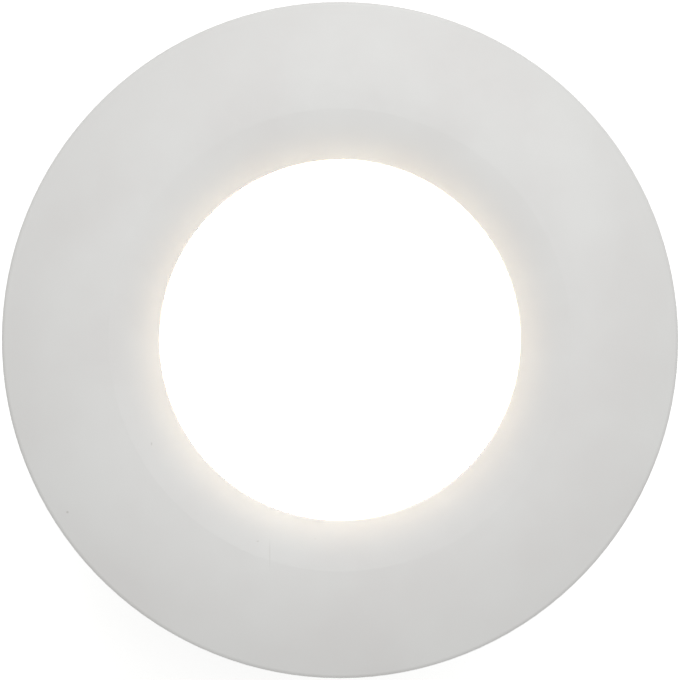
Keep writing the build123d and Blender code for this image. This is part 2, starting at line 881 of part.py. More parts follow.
# Capacitors
with BuildPart() as input_capacitor:
    with Locations((input_can_x, input_can_y, driver_z)):
        add(capacitor(input_can_d, input_can_h))
input_capacitor.part.label = "input_capacitor"
export_step(input_capacitor.part, "parts/input_capacitor.step")

with BuildPart() as output_capacitor:
    with Locations((output_can_x, output_can_y, driver_z)):
        add(capacitor(output_can_d, output_can_h))
output_capacitor.part.label = "output_capacitor"
export_step(output_capacitor.part, "parts/output_capacitor.step")

# Drum choke with a waist for its winding
with BuildPart() as choke:
    with BuildSketch(Plane.XZ):
        with BuildLine():
            Polyline(
                (0, driver_z),
                (choke_d / 2, driver_z),
                (choke_d / 2, driver_z - choke_cheek),
                (choke_d / 2 - choke_waist, driver_z - choke_cheek),
                (choke_d / 2 - choke_waist, driver_z - choke_h + choke_cheek),
                (choke_d / 2, driver_z - choke_h + choke_cheek),
                (choke_d / 2, driver_z - choke_h),
                (0, driver_z - choke_h),
                close=True,
            )
        make_face()
    revolve(axis=Axis.Z)
with BuildPart() as driver_choke:
    with Locations((0, choke_y, 0)):
        add(choke.part)
driver_choke.part.label = "driver_choke"
export_step(driver_choke.part, "parts/driver_choke.step")

# Chips soldered flat on the driver board
with BuildPart() as driver_chips:
    with BuildSketch(Plane.XY.offset(driver_z)):
        with Locations(*chip_places):
            Rectangle(chip_l, chip_w)
        with Locations(*diode_places):
            Rectangle(diode_l, diode_w)
    extrude(amount=-chip_h, taper=chip_taper)
driver_chips.part.label = "driver_chips"
export_step(driver_chips.part, "parts/driver_chips.step")

# Terminal for the supply wires, its wire holes facing the gland
terminal_l = terminal_ways * terminal_pitch - terminal_gap
with BuildPart() as input_terminal:
    with BuildSketch(Plane.XY.offset(driver_z - terminal_h)):
        with Locations((0, terminal_y)):
            Rectangle(terminal_l, terminal_w)
            with GridLocations(terminal_pitch, 1, terminal_ways, 1):
                Circle(terminal_hole_r, mode=Mode.SUBTRACT)
    extrude(amount=terminal_h - terminal_foot_t)
    with BuildSketch(Plane.XY.offset(driver_z - terminal_foot_t)):
        with Locations((0, terminal_y)):
            Rectangle(terminal_l, terminal_w)
    extrude(amount=terminal_foot_t)
input_terminal.part.label = "input_terminal"
export_step(input_terminal.part, "parts/input_terminal.step")

# Rear cap: lugs that match the housing, a spigot with a seal groove, and the gland's boss
with BuildPart() as rear_cap:
    with BuildSketch(Plane.XY.offset(cap_foot_z)):
        Circle(can_r)
        with PolarLocations(lug_pitch_r, lug_count, start_angle=lug_start):
            Circle(lug_r)
    extrude(amount=cap_t)
    chamfer(rear_cap.faces().sort_by(Axis.Z)[0].edges(), cap_chamfer)
    with BuildSketch(Plane.XY.offset(mouth_z)):
        Circle(spigot_r)
        Circle(spigot_r - spigot_wall, mode=Mode.SUBTRACT)
    extrude(amount=spigot_h)
    with BuildSketch(Plane.XZ):
        with Locations((cap_groove_r, mouth_z + spigot_h / 2)):
            Rectangle(
                2 * (spigot_r - cap_groove_r),
                cap_groove_w,
                align=(Align.MIN, Align.CENTER),
            )
    revolve(axis=Axis.Z, mode=Mode.SUBTRACT)
    with BuildSketch(Plane.XY.offset(boss_foot_z)):
        Circle(cap_boss_r)
    extrude(amount=cap_boss_h)
    with Locations((0, 0, mouth_z)):
        Hole(gland_thread_r + tap_clear)
        with PolarLocations(lug_pitch_r, lug_count, start_angle=lug_start):
            Hole(cap_screw_d / 2 + pass_clear)
rear_cap.part.label = "rear_cap"
export_step(rear_cap.part, "parts/rear_cap.step")

with BuildPart() as cap_seal:
    with Locations((0, 0, mouth_z + spigot_h / 2)):
        Torus(cap_seal_r, cap_seal_t / 2)
cap_seal.part.label = "cap_seal"
export_step(cap_seal.part, "parts/cap_seal.step")

cap_screw = pan_screw(cap_screw_d, cap_t + cap_screw_bite)
with BuildPart() as cap_screws:
    with Locations((0, 0, cap_foot_z)):
        with PolarLocations(lug_pitch_r, lug_count, start_angle=lug_start):
            add(cap_screw, rotation=(180, 0, 0))
cap_screws.part.label = "cap_screws"
export_step(cap_screws.part, "parts/cap_screws.step")

# Earth terminal on the inside of the cap: a ring tag under its screw
earth_screw = pan_screw(earth_screw_d, tag_t)
with BuildPart() as earth_terminal:
    with BuildSketch(Plane.XY.offset(mouth_z)):
        with Locations((earth_x, 0)):
            Circle(tag_r)
            Rectangle(tag_w, 2 * tag_l)
            Circle(tag_hole_r, mode=Mode.SUBTRACT)
    extrude(amount=tag_t)
    with Locations((earth_x, 0, mouth_z + tag_t)):
        add(earth_screw)
earth_terminal.part.label = "earth_terminal"
export_step(earth_terminal.part, "parts/earth_terminal.step")

# Gland body: thread through the cap, hexagon, and a tail that holds the seal
with BuildPart() as gland_body:
    with BuildSketch(Plane.XZ):
        with BuildLine():
            Polyline(
                (gland_bore_r, mouth_z + gland_nose_l),
                (gland_thread_r, mouth_z + gland_nose_l),
                (gland_thread_r, hex_foot_z),
                (tail_r, hex_foot_z),
                (tail_r, tail_foot_z),
                (pocket_r, tail_foot_z),
                (pocket_r, hex_foot_z),
                (gland_bore_r, hex_foot_z),
                close=True,
            )
        make_face()
    revolve(axis=Axis.Z)
    with BuildSketch(Plane.XY.offset(hex_foot_z)):
        RegularPolygon(gland_af / 2, 6, major_radius=False)
        Circle(gland_thread_r - gland_tail_wall, mode=Mode.SUBTRACT)
    extrude(amount=gland_hex_h)
gland_body.part.label = "gland_body"
export_step(gland_body.part, "parts/gland_body.step")

with BuildPart() as gland_washer:
    with BuildSketch(Plane.XY.offset(hex_top_z)):
        Circle(gland_thread_r + gland_washer_w)
        Circle(gland_thread_r + seal_clear, mode=Mode.SUBTRACT)
    extrude(amount=gland_washer_t)
gland_washer.part.label = "gland_washer"
export_step(gland_washer.part, "parts/gland_washer.step")

# Rubber seal, squeezed round the cable by the nut's cone
with BuildPart() as gland_seal:
    with BuildSketch(Plane.XZ):
        with BuildLine():
            Polyline(
                (cable_d / 2, hex_foot_z - seal_pocket_gap),
                (seal_r, hex_foot_z - seal_pocket_gap),
                (seal_r, tail_foot_z),
                (seal_r - seal_taper / 2, tail_foot_z - seal_taper),
                (cable_d / 2, tail_foot_z - seal_taper),
                close=True,
            )
        make_face()
    revolve(axis=Axis.Z)
gland_seal.part.label = "gland_seal"
export_step(gland_seal.part, "parts/gland_seal.step")

# Domed nut
with BuildPart() as gland_nut:
    with BuildSketch(Plane.XY.offset(dome_z)):
        RegularPolygon(gland_af / 2, 6, major_radius=False)
    extrude(amount=nut_hex_h)
    with BuildSketch(Plane.XZ) as dome:
        with BuildLine():
            Line((0, dome_z), (gland_af / 2, dome_z))
            TangentArc(
                (gland_af / 2, dome_z),
                (nut_hole_r + nut_gap, nut_foot_z),
                tangent=(0, -1),
            )
            Polyline((nut_hole_r + nut_gap, nut_foot_z), (0, nut_foot_z), (0, dome_z))
        make_face()
    revolve(axis=Axis.Z)
    with BuildSketch(Plane.XZ):
        with BuildLine():
            Polyline(
                (0, nut_top_z),
                (tail_r + nut_clear, nut_top_z),
                (tail_r + nut_clear, tail_foot_z - nut_gap),
                (nut_hole_r, tail_foot_z - nut_gap - seal_taper),
                (nut_hole_r, nut_foot_z),
                (0, nut_foot_z),
                close=True,
            )
        make_face()
    revolve(axis=Axis.Z, mode=Mode.SUBTRACT)
gland_nut.part.label = "gland_nut"
export_step(gland_nut.part, "parts/gland_nut.step")

# Clip bracket: a bent strip with two ears for the hinge pin
face_plane = Plane((pad_x, 0, 0), x_dir=(0, 1, 0), z_dir=(1, 0, 0))
with BuildPart() as clip_bracket_right:
    with BuildSketch(face_plane):
        with Locations((0, (bracket_top_z + bracket_foot_z) / 2)):
            Rectangle(pin_l, bracket_top_z - bracket_foot_z)
        with Locations((0, bracket_top_z - bracket_screw_drop)):
            with GridLocations(bracket_screw_pitch, 1, 2, 1):
                Circle(bracket_screw_d / 2 + pass_clear, mode=Mode.SUBTRACT)
    extrude(amount=bracket_t)
    for ear_side in (-pin_l / 2, ear_y):
        with BuildSketch(Plane.XZ.offset(-ear_side)):
            with Locations((pin_x, pin_z)):
                Circle(ear_r)
            Polygon(
                (pad_x, bracket_foot_z),
                (pin_x, pin_z - ear_r),
                (pin_x, pin_z + ear_r),
                (pad_x, pin_z + 2 * ear_r),
            )
            with Locations((pin_x, pin_z)):
                Circle(pin_r, mode=Mode.SUBTRACT)
        extrude(amount=-bracket_t)
clip_bracket_right.part.label = "clip_bracket_right"
export_step(clip_bracket_right.part, "parts/clip_bracket_right.step")

with BuildPart() as clip_bracket_left:
    add(clip_bracket_right.part, rotation=(0, 0, 180))
clip_bracket_left.part.label = "clip_bracket_left"
export_step(clip_bracket_left.part, "parts/clip_bracket_left.step")

bracket_screw = pan_screw(bracket_screw_d, bracket_screw_l)
with BuildPart() as bracket_screws:
    for side in (1, -1):
        head_x = side * (pad_x + bracket_t)
        with Locations(Plane((head_x, 0, 0), x_dir=(0, 1, 0), z_dir=(side, 0, 0))):
            with Locations((0, side * (bracket_top_z - bracket_screw_drop))):
                with GridLocations(bracket_screw_pitch, 1, 2, 1):
                    add(bracket_screw)
bracket_screws.part.label = "bracket_screws"
export_step(bracket_screws.part, "parts/bracket_screws.step")

# Hinge pin with a head each end
with BuildPart() as clip_pin_right:
    with BuildSketch(Plane.XZ.offset(-pin_l / 2 - pin_head_t)):
        with Locations((pin_x, pin_z)):
            Circle(pin_head_r)
    extrude(amount=pin_head_t)
    with BuildSketch(Plane.XZ.offset(-pin_l / 2)):
        with Locations((pin_x, pin_z)):
            Circle(pin_r)
    extrude(amount=pin_l)
    with BuildSketch(Plane.XZ.offset(pin_l / 2)):
        with Locations((pin_x, pin_z)):
            Circle(pin_head_r)
    extrude(amount=pin_head_t)
clip_pin_right.part.label = "clip_pin_right"
export_step(clip_pin_right.part, "parts/clip_pin_right.step")

with BuildPart() as clip_pin_left:
    add(clip_pin_right.part, rotation=(0, 0, 180))
clip_pin_left.part.label = "clip_pin_left"
export_step(clip_pin_left.part, "parts/clip_pin_left.step")

# Spring arm: a strip curled round the pin, straight down the sleeve's wall, hooked at the end
arm_lean = atan2(arm_foot_x - pin_x - curl_mid_r, arm_l)
with BuildPart() as clip_arm_right:
    with BuildSketch(Plane.XZ.offset(-arm_w / 2)):
        with BuildLine() as arm_line:
            curl = CenterArc((pin_x, pin_z), curl_mid_r, degrees(arm_lean), curl_turn)
            blade = Line(
                curl @ 0,
                curl @ 0 + Vector(sin(arm_lean), -cos(arm_lean)) * arm_l,
            )
            JernArc(blade @ 1, blade % 1, arm_hook_r, -arm_hook_turn)
        trace(line_width=arm_t)
    extrude(amount=arm_w)
    with BuildSketch(Plane.YZ.offset(pin_x - curl_r)):
        with Locations((0, pin_z - slot_l)):
            Rectangle(spring_window, slot_l + 2 * curl_r, align=(Align.CENTER, Align.MIN))
    extrude(amount=3 * curl_r, mode=Mode.SUBTRACT)
clip_arm_right.part.label = "clip_arm_right"
export_step(clip_arm_right.part, "parts/clip_arm_right.step")

with BuildPart() as clip_arm_left:
    add(clip_arm_right.part, rotation=(0, 0, 180))
clip_arm_left.part.label = "clip_arm_left"
export_step(clip_arm_left.part, "parts/clip_arm_left.step")

# Rubber grip on the outside of the arm, drawn along the arm from the start of its hook
grip_plane = Plane(
    (arm_foot_x, 0, pin_z + curl_mid_r * sin(arm_lean) - arm_l * cos(arm_lean)),
    x_dir=(-sin(arm_lean), 0, cos(arm_lean)),
    z_dir=(0, 1, 0),
)
with BuildPart() as clip_grip_right:
    with BuildSketch(grip_plane.offset(-arm_w / 2)):
        with Locations((grip_lift, arm_t / 2)):
            Rectangle(grip_l, grip_t, align=(Align.MIN, Align.MIN))
    extrude(amount=arm_w)
clip_grip_right.part.label = "clip_grip_right"
export_step(clip_grip_right.part, "parts/clip_grip_right.step")

with BuildPart() as clip_grip_left:
    add(clip_grip_right.part, rotation=(0, 0, 180))
clip_grip_left.part.label = "clip_grip_left"
export_step(clip_grip_left.part, "parts/clip_grip_left.step")

# Torsion spring: one leg on the bracket, the other through the arm's window and behind the arm
coil_r = pin_r + spring_clear + spring_wire_d / 2
leg_x = curl_mid_r - arm_t / 2 - spring_wire_d / 2 - seal_clear
leg_turn = degrees(acos(coil_r / sqrt(leg_x**2 + slot_l**2)) - atan2(slot_l, leg_x))
coil_turns = spring_turns + (180 - leg_turn) / 360
coil_l = coil_turns * spring_pitch
coil_plane = Plane((pin_x, -coil_l / 2, pin_z), x_dir=(-1, 0, 0), z_dir=(0, 1, 0))
coil = coil_plane * Helix(spring_pitch, coil_l, coil_r, mode=Mode.PRIVATE)
with BuildPart() as clip_spring_right:
    with BuildLine() as spring_path:
        base_leg = Line(coil @ 0 - (coil % 0) * spring_base_leg, coil @ 0)
        add(coil)
        Line(coil @ 1, coil @ 1 + (coil % 1) * spring_arm_leg)
    with BuildSketch(Plane(base_leg @ 0, z_dir=base_leg % 0)):
        Circle(spring_wire_d / 2)
    sweep(path=spring_path.wires()[0])
clip_spring_right.part.label = "clip_spring_right"
export_step(clip_spring_right.part, "parts/clip_spring_right.step")

with BuildPart() as clip_spring_left:
    add(clip_spring_right.part, rotation=(0, 0, 180))
clip_spring_left.part.label = "clip_spring_left"
export_step(clip_spring_left.part, "parts/clip_spring_left.step")
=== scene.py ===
"""A small round in-ground light, lit, seen straight down on its white trim ring.

The loaded frame holds every piece that has a size and a place. This script gives each of them its
finish, adds the small pieces that show how the light is made, such as screw recesses, threads and
windings, and sets it in a plain pale studio. Metres, with the ground at z = 0 and +Z up.
"""

import logging
import math
from dataclasses import dataclass
from enum import Enum
from typing import Iterable

import bmesh
import bpy
from mathutils import Matrix, Vector


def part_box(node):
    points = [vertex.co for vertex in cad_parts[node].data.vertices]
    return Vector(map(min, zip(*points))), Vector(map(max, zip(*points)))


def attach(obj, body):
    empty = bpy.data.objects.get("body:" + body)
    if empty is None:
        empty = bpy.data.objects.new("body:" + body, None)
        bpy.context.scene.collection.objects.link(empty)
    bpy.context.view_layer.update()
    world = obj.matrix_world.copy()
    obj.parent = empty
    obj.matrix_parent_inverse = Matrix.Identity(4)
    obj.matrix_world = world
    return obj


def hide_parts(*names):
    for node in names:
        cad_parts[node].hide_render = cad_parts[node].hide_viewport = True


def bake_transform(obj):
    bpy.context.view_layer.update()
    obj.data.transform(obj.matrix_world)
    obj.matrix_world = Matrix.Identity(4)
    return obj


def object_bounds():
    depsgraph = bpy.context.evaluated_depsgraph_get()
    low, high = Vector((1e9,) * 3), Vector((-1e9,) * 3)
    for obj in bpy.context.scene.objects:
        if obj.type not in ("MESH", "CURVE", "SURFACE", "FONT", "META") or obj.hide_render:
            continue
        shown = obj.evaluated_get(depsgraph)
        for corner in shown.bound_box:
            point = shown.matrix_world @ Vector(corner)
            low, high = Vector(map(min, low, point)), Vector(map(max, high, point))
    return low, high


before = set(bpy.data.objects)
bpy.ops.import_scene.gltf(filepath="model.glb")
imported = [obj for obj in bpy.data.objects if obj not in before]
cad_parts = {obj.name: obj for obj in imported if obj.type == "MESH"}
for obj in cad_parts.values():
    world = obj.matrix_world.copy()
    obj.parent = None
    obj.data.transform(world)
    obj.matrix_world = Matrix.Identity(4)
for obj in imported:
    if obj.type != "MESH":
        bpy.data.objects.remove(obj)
cad_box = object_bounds()

log = logging.getLogger("in_ground_light")

MM = 0.001
FULL_TURN = 2 * math.pi
WELD = 0.0001 * MM  # vertices closer than this are one
SMOOTH_ANGLE = math.radians(32)
STEPS_PER_TURN = 32  # of a thread or a winding
THREAD_ROOT = 0.34  # half the width of a thread's root, as a share of its pitch
THREAD_CREST = 0.1  # half the width of its crest, as a share of its pitch
LOBE_WAVE = 0.13  # how far the edge of a six-lobed recess waves to either side of its mean reach
CROSS_WAIST = 0.34  # reach of a cross recess between its arms
NOISE_ENDS = (0.25, 0.75)  # nearly all of a noise lies between these
NOISE_MIDDLE = (0.35, 0.65)  # stretched to 0 and 1, this parts a noise into two clear shades

Socket = bpy.types.NodeSocket
Tree = bpy.types.NodeTree
Box = tuple[Vector, Vector]


def linear(hex_colour: str) -> tuple[float, float, float, float]:
    """Turns an sRGB hex colour to the linear colour that the shaders take.

    Args:
        hex_colour: the colour as "#rrggbb".

    Returns:
        Linear red, green, blue, and an alpha of 1.
    """
    parts = [int(hex_colour[i : i + 2], 16) / 255 for i in (1, 3, 5)]
    r, g, b = (c / 12.92 if c <= 0.04045 else ((c + 0.055) / 1.055) ** 2.4 for c in parts)
    return r, g, b, 1.0


def per_mm(size_mm: float) -> float:
    """Gives the texture scale that makes a pattern's cells this wide.

    Args:
        size_mm: width of one cell in millimetres.

    Returns:
        The scale, for coordinates in metres.
    """
    return 1 / (size_mm * MM)


def add_node(tree: Tree, kind: str, inputs: dict | None = None, **settings: object) -> bpy.types.Node:
    """Adds one node to a tree.

    Args:
        tree: the node tree.
        kind: the node's type name.
        inputs: what each input gets, by name or number: another node's socket, or a plain value.
        settings: the node's own properties.

    Returns:
        The new node.
    """
    node = tree.nodes.new(kind)
    for name, value in settings.items():
        setattr(node, name, value)
    for name, value in (inputs or {}).items():
        if isinstance(value, bpy.types.NodeSocket):
            tree.links.new(value, node.inputs[name])
        else:
            node.inputs[name].default_value = value
    return node


def blend_colours(tree: Tree, factor: Socket, low: str | Socket, high: str | Socket) -> Socket:
    """Mixes two colours.

    Args:
        tree: the node tree.
        factor: 0 gives low and 1 gives high.
        low: hex colour, or a colour socket.
        high: hex colour, or a colour socket.

    Returns:
        The mixed colour.
    """
    ends = [c if isinstance(c, bpy.types.NodeSocket) else linear(c) for c in (low, high)]
    # Inputs 6 and 7 and output 2 of a Mix node are its colours
    mix = add_node(
        tree,
        "ShaderNodeMix",
        {"Factor": factor, 6: ends[0], 7: ends[1]},
        data_type="RGBA",
    )
    return mix.outputs[2]


def rescale(tree: Tree, value: Socket, start: tuple[float, float], end: tuple[float, float]) -> Socket:
    """Maps a range of values to another and holds it at both ends.

    Args:
        tree: the node tree.
        value: the value to map.
        start: lowest and highest value that come in.
        end: what those two become.

    Returns:
        The mapped value.
    """
    mapped = add_node(
        tree,
        "ShaderNodeMapRange",
        {"Value": value, "From Min": start[0], "From Max": start[1], "To Min": end[0], "To Max": end[1]},
    )
    return mapped.outputs["Result"]


def pick(tree: Tree, factor: Socket, low: Socket, high: Socket) -> Socket:
    """Takes one value or the other.

    Args:
        tree: the node tree.
        factor: 0 gives low and 1 gives high.
        low: a value.
        high: a value.

    Returns:
        The value taken.
    """
    # Inputs 2 and 3 and output 0 of a Mix node are its plain values
    mix = add_node(tree, "ShaderNodeMix", {"Factor": factor, 2: low, 3: high}, data_type="FLOAT")
    return mix.outputs[0]


def patches(tree: Tree, coords: Socket, size_mm: float, detail: float = 2.0) -> Socket:
    """Gives soft irregular patches.

    Args:
        tree: the node tree.
        coords: where the pattern is read.
        size_mm: width of a patch in millimetres.
        detail: how many finer layers lie on it.

    Returns:
        A value about 0.5, from about 0.25 to 0.75.
    """
    noise = add_node(
        tree, "ShaderNodeTexNoise", {"Vector": coords, "Scale": per_mm(size_mm), "Detail": detail}
    )
    return noise.outputs["Fac"]


def stretched(tree: Tree, coords: Socket, size_mm: tuple[float, float, float]) -> Socket:
    """Gives long marks, as of rolling, brushing or glass fibres.

    Args:
        tree: the node tree.
        coords: where the pattern is read.
        size_mm: the marks' size along X, Y and Z in millimetres.

    Returns:
        A value about 0.5, from about 0.25 to 0.75.
    """
    scaled = add_node(
        tree, "ShaderNodeMapping", {"Vector": coords, "Scale": [per_mm(s) for s in size_mm]}
    )
    noise = add_node(
        tree, "ShaderNodeTexNoise", {"Vector": scaled.outputs["Vector"], "Scale": 1.0, "Detail": 2.0}
    )
    return noise.outputs["Fac"]


def within(tree: Tree, coords: Socket, box: Box) -> Socket:
    """Tells what lies inside a box.

    Args:
        tree: the node tree.
        coords: where the surface is.
        box: the box's lowest and highest corner.

    Returns:
        1 inside the box and 0 outside it.
    """
    low, high = box
    centred = add_node(
        tree, "ShaderNodeVectorMath", {0: coords, 1: (low + high) / 2}, operation="SUBTRACT"
    )
    folded = add_node(
        tree, "ShaderNodeVectorMath", {0: centred.outputs["Vector"]}, operation="ABSOLUTE"
    )
    over = add_node(
        tree,
        "ShaderNodeVectorMath",
        {0: folded.outputs["Vector"], 1: (high - low) / 2},
        operation="SUBTRACT",
    )
    parts = add_node(tree, "ShaderNodeSeparateXYZ", {"Vector": over.outputs["Vector"]})
    widest = add_node(
        tree, "ShaderNodeMath", {0: parts.outputs["X"], 1: parts.outputs["Y"]}, operation="MAXIMUM"
    )
    most = add_node(
        tree, "ShaderNodeMath", {0: widest.outputs[0], 1: parts.outputs["Z"]}, operation="MAXIMUM"
    )
    inside = add_node(tree, "ShaderNodeMath", {0: most.outputs[0], 1: 0.0}, operation="LESS_THAN")
    return inside.outputs[0]


@dataclass(frozen=True)
class Finish:
    """A surface finish: the numbers of its shader, and the patterns that its kinds add to it."""

    slot: str
    colour: str
    roughness: float
    metallic: float = 0.0
    ior: float = 1.5
    label: str = ""  # the material's name, where its slot alone doesn't tell it from another
    sheen_spread: float = 0.08  # the most that a pattern moves the roughness, either way

    def material(self) -> bpy.types.Material:
        """Makes the material, or gives back the one already made."""
        name = self.label or self.slot + "_finish"
        made = bpy.data.materials.get(name)
        if made:
            return made
        made = bpy.data.materials.new(name)
        made.use_nodes = True
        tree = made.node_tree
        tree.nodes.clear()
        coords = add_node(tree, "ShaderNodeTexCoord").outputs["Object"]
        shader = add_node(
            tree,
            "ShaderNodeBsdfPrincipled",
            {"Base Color": linear(self.colour), "Roughness": self.roughness, "Metallic": self.metallic},
        )
        if not self.metallic:
            shader.inputs["IOR"].default_value = self.ior
        self.wire(tree, coords, shader)
        add_node(tree, "ShaderNodeOutputMaterial", {"Surface": shader.outputs["BSDF"]})
        return made

    def wire(self, tree: Tree, coords: Socket, shader: bpy.types.Node) -> None:
        """Adds the finish's own patterns to its shader.

        Args:
            tree: the material's node tree.
            coords: Object coordinates.
            shader: the Principled shader.
        """
        raise NotImplementedError

    def tint(self, tree: Tree, shader: bpy.types.Node, factor: Socket, other: str) -> None:
        """Varies the colour.

        Args:
            tree: the material's node tree.
            shader: the Principled shader.
            factor: 0 keeps the finish's colour and 1 gives the other.
            other: hex colour.
        """
        mixed = blend_colours(tree, factor, self.colour, other)
        tree.links.new(mixed, shader.inputs["Base Color"])

    def dull(self, tree: Tree, shader: bpy.types.Node, factor: Socket) -> None:
        """Varies the roughness by the finish's sheen spread.

        Args:
            tree: the material's node tree.
            shader: the Principled shader.
            factor: a value about 0.5.
        """
        ends = (self.roughness - self.sheen_spread, self.roughness + self.sheen_spread)
        tree.links.new(rescale(tree, factor, NOISE_ENDS, ends), shader.inputs["Roughness"])

    def emboss(self, tree: Tree, shader: bpy.types.Node, height: Socket, depth_mm: float) -> None:
        """Raises a relief.

        Args:
            tree: the material's node tree.
            shader: the Principled shader.
            height: the relief, from 0 to 1.
            depth_mm: its depth in millimetres.
        """
        bump = add_node(tree, "ShaderNodeBump", {"Height": height, "Distance": depth_mm * MM})
        tree.links.new(bump.outputs["Normal"], shader.inputs["Normal"])


@dataclass(frozen=True)
class Mark:
    """One small blemish in a coat, seen from above."""

    place_mm: tuple[float, float]
    size_mm: tuple[float, float]
    darkness: float  # 0 leaves the coat as it is, and 1 gives it the colour of dirt
    core: float = 0.35  # share of its reach that has the full darkness

    def shade(self, tree: Tree, coords: Socket) -> Socket:
        """Gives the blemish's soft outline.

        Args:
            tree: the material's node tree.
            coords: Object coordinates.

        Returns:
            The darkness in the middle of the blemish, falling to 0 at its edge.
        """
        half = [s * MM / 2 for s in self.size_mm]
        place = [-p * MM / h for p, h in zip(self.place_mm, half)]
        local = add_node(
            tree,
            "ShaderNodeMapping",
            {"Vector": coords, "Location": (*place, 0), "Scale": (1 / half[0], 1 / half[1], 0)},
        )
        away = add_node(tree, "ShaderNodeVectorMath", {0: local.outputs["Vector"]}, operation="LENGTH")
        return rescale(tree, away.outputs["Value"], (self.core, 1.0), (self.darkness, 0))


@dataclass(frozen=True)
class PowderCoat(Finish):
    """Baked polyester powder on aluminium: satin white, with a fine orange peel, nibs and scuffs."""

    sheen_spread: float = 0.04
    shade: str = "#d9d8d6"
    dirt: str = "#a29d95"
    shade_mm: float = 11.0
    shade_ends: tuple[float, float] = (0.3, 0.7)  # where in the noise each of two shades is full
    peel_mm: float = 0.9
    peel_depth_mm: float = 0.006
    nib_cell_mm: float = 6.0  # distance from one possible nib to the next
    nib_mm: float = 0.16
    nib_share: float = 0.22  # of the possible nibs that are there
    nib_darkness: float = 0.6
    marks: tuple[Mark, ...] = ()

    def wire(self, tree: Tree, coords: Socket, shader: bpy.types.Node) -> None:
        """Adds the shading, the orange peel, the nibs and the marks, in the way that Finish.wire says."""
        cells = add_node(
            tree, "ShaderNodeTexVoronoi", {"Vector": coords, "Scale": per_mm(self.nib_cell_mm)}
        )
        edge = self.nib_mm / self.nib_cell_mm
        near = rescale(tree, cells.outputs["Distance"], (0.0, edge), (self.nib_darkness, 0))
        chance = add_node(tree, "ShaderNodeSeparateColor", {"Color": cells.outputs["Color"]})
        rare = add_node(
            tree,
            "ShaderNodeMath",
            {0: chance.outputs["Red"], 1: self.nib_share},
            operation="LESS_THAN",
        )
        spots = add_node(tree, "ShaderNodeMath", {0: near, 1: rare.outputs[0]}, operation="MULTIPLY")
        for mark in self.marks:
            spots = add_node(
                tree,
                "ShaderNodeMath",
                {0: spots.outputs[0], 1: mark.shade(tree, coords)},
                operation="MAXIMUM",
            )
        soft = rescale(tree, patches(tree, coords, self.shade_mm), self.shade_ends, (0, 1))
        coat = blend_colours(tree, soft, self.colour, self.shade)
        spotted = blend_colours(tree, spots.outputs[0], coat, self.dirt)
        tree.links.new(spotted, shader.inputs["Base Color"])
        peel = patches(tree, coords, self.peel_mm)
        self.dull(tree, shader, peel)
        self.emboss(tree, shader, peel, self.peel_depth_mm)


@dataclass(frozen=True)
class OpalAcrylic(Finish):
    """Polished opal acrylic with light behind it: even white on top, fading down its buried rim."""

    sheen_spread: float = 0.03
    glow: str = "#ffeccf"
    edge_glow: str = "#ffe4bc"
    buried_glow: str = "#3a352d"
    strength: float = 21.0  # of the glow, which the camera sees as blown-out white
    reach_mm: float = 24.0  # from the middle to where the edge's glow is full
    lit_mm: tuple[float, float] = (-0.5, 2.5)  # heights at which the glow starts and is full

    def wire(self, tree: Tree, coords: Socket, shader: bpy.types.Node) -> None:
        """Adds the glow, in the way that Finish.wire says."""
        length = add_node(tree, "ShaderNodeVectorMath", {0: coords}, operation="LENGTH")
        outward = rescale(tree, length.outputs["Value"], (0.0, self.reach_mm * MM), (0, 1))
        top = blend_colours(tree, outward, self.glow, self.edge_glow)
        height = add_node(tree, "ShaderNodeSeparateXYZ", {"Vector": coords}).outputs["Z"]
        lit = rescale(tree, height, tuple(h * MM for h in self.lit_mm), (0, 1))
        tree.links.new(blend_colours(tree, lit, self.buried_glow, top), shader.inputs["Emission Color"])
        shader.inputs["Emission Strength"].default_value = self.strength
        self.dull(tree, shader, patches(tree, coords, self.reach_mm))


@dataclass(frozen=True)
class Casting(Finish):
    """Shot-blasted aluminium die casting: an even bright grain with slow patches where metal met.

    The grain is drawn coarser than blasting leaves it, so that it shows.
    """

    sheen_spread: float = 0.04
    cold: str = "#b5b7b9"
    flow_mm: float = 18.0
    flow_detail: float = 4.0
    grain_mm: float = 0.45
    grain_depth_mm: float = 0.03

    def wire(self, tree: Tree, coords: Socket, shader: bpy.types.Node) -> None:
        """Adds the flow patches and the blasted grain, in the way that Finish.wire says."""
        flow = patches(tree, coords, self.flow_mm, self.flow_detail)
        grain = patches(tree, coords, self.grain_mm)
        self.tint(tree, shader, rescale(tree, flow, NOISE_MIDDLE, (0, 1)), self.cold)
        self.dull(tree, shader, flow)
        self.emboss(tree, shader, grain, self.grain_depth_mm)


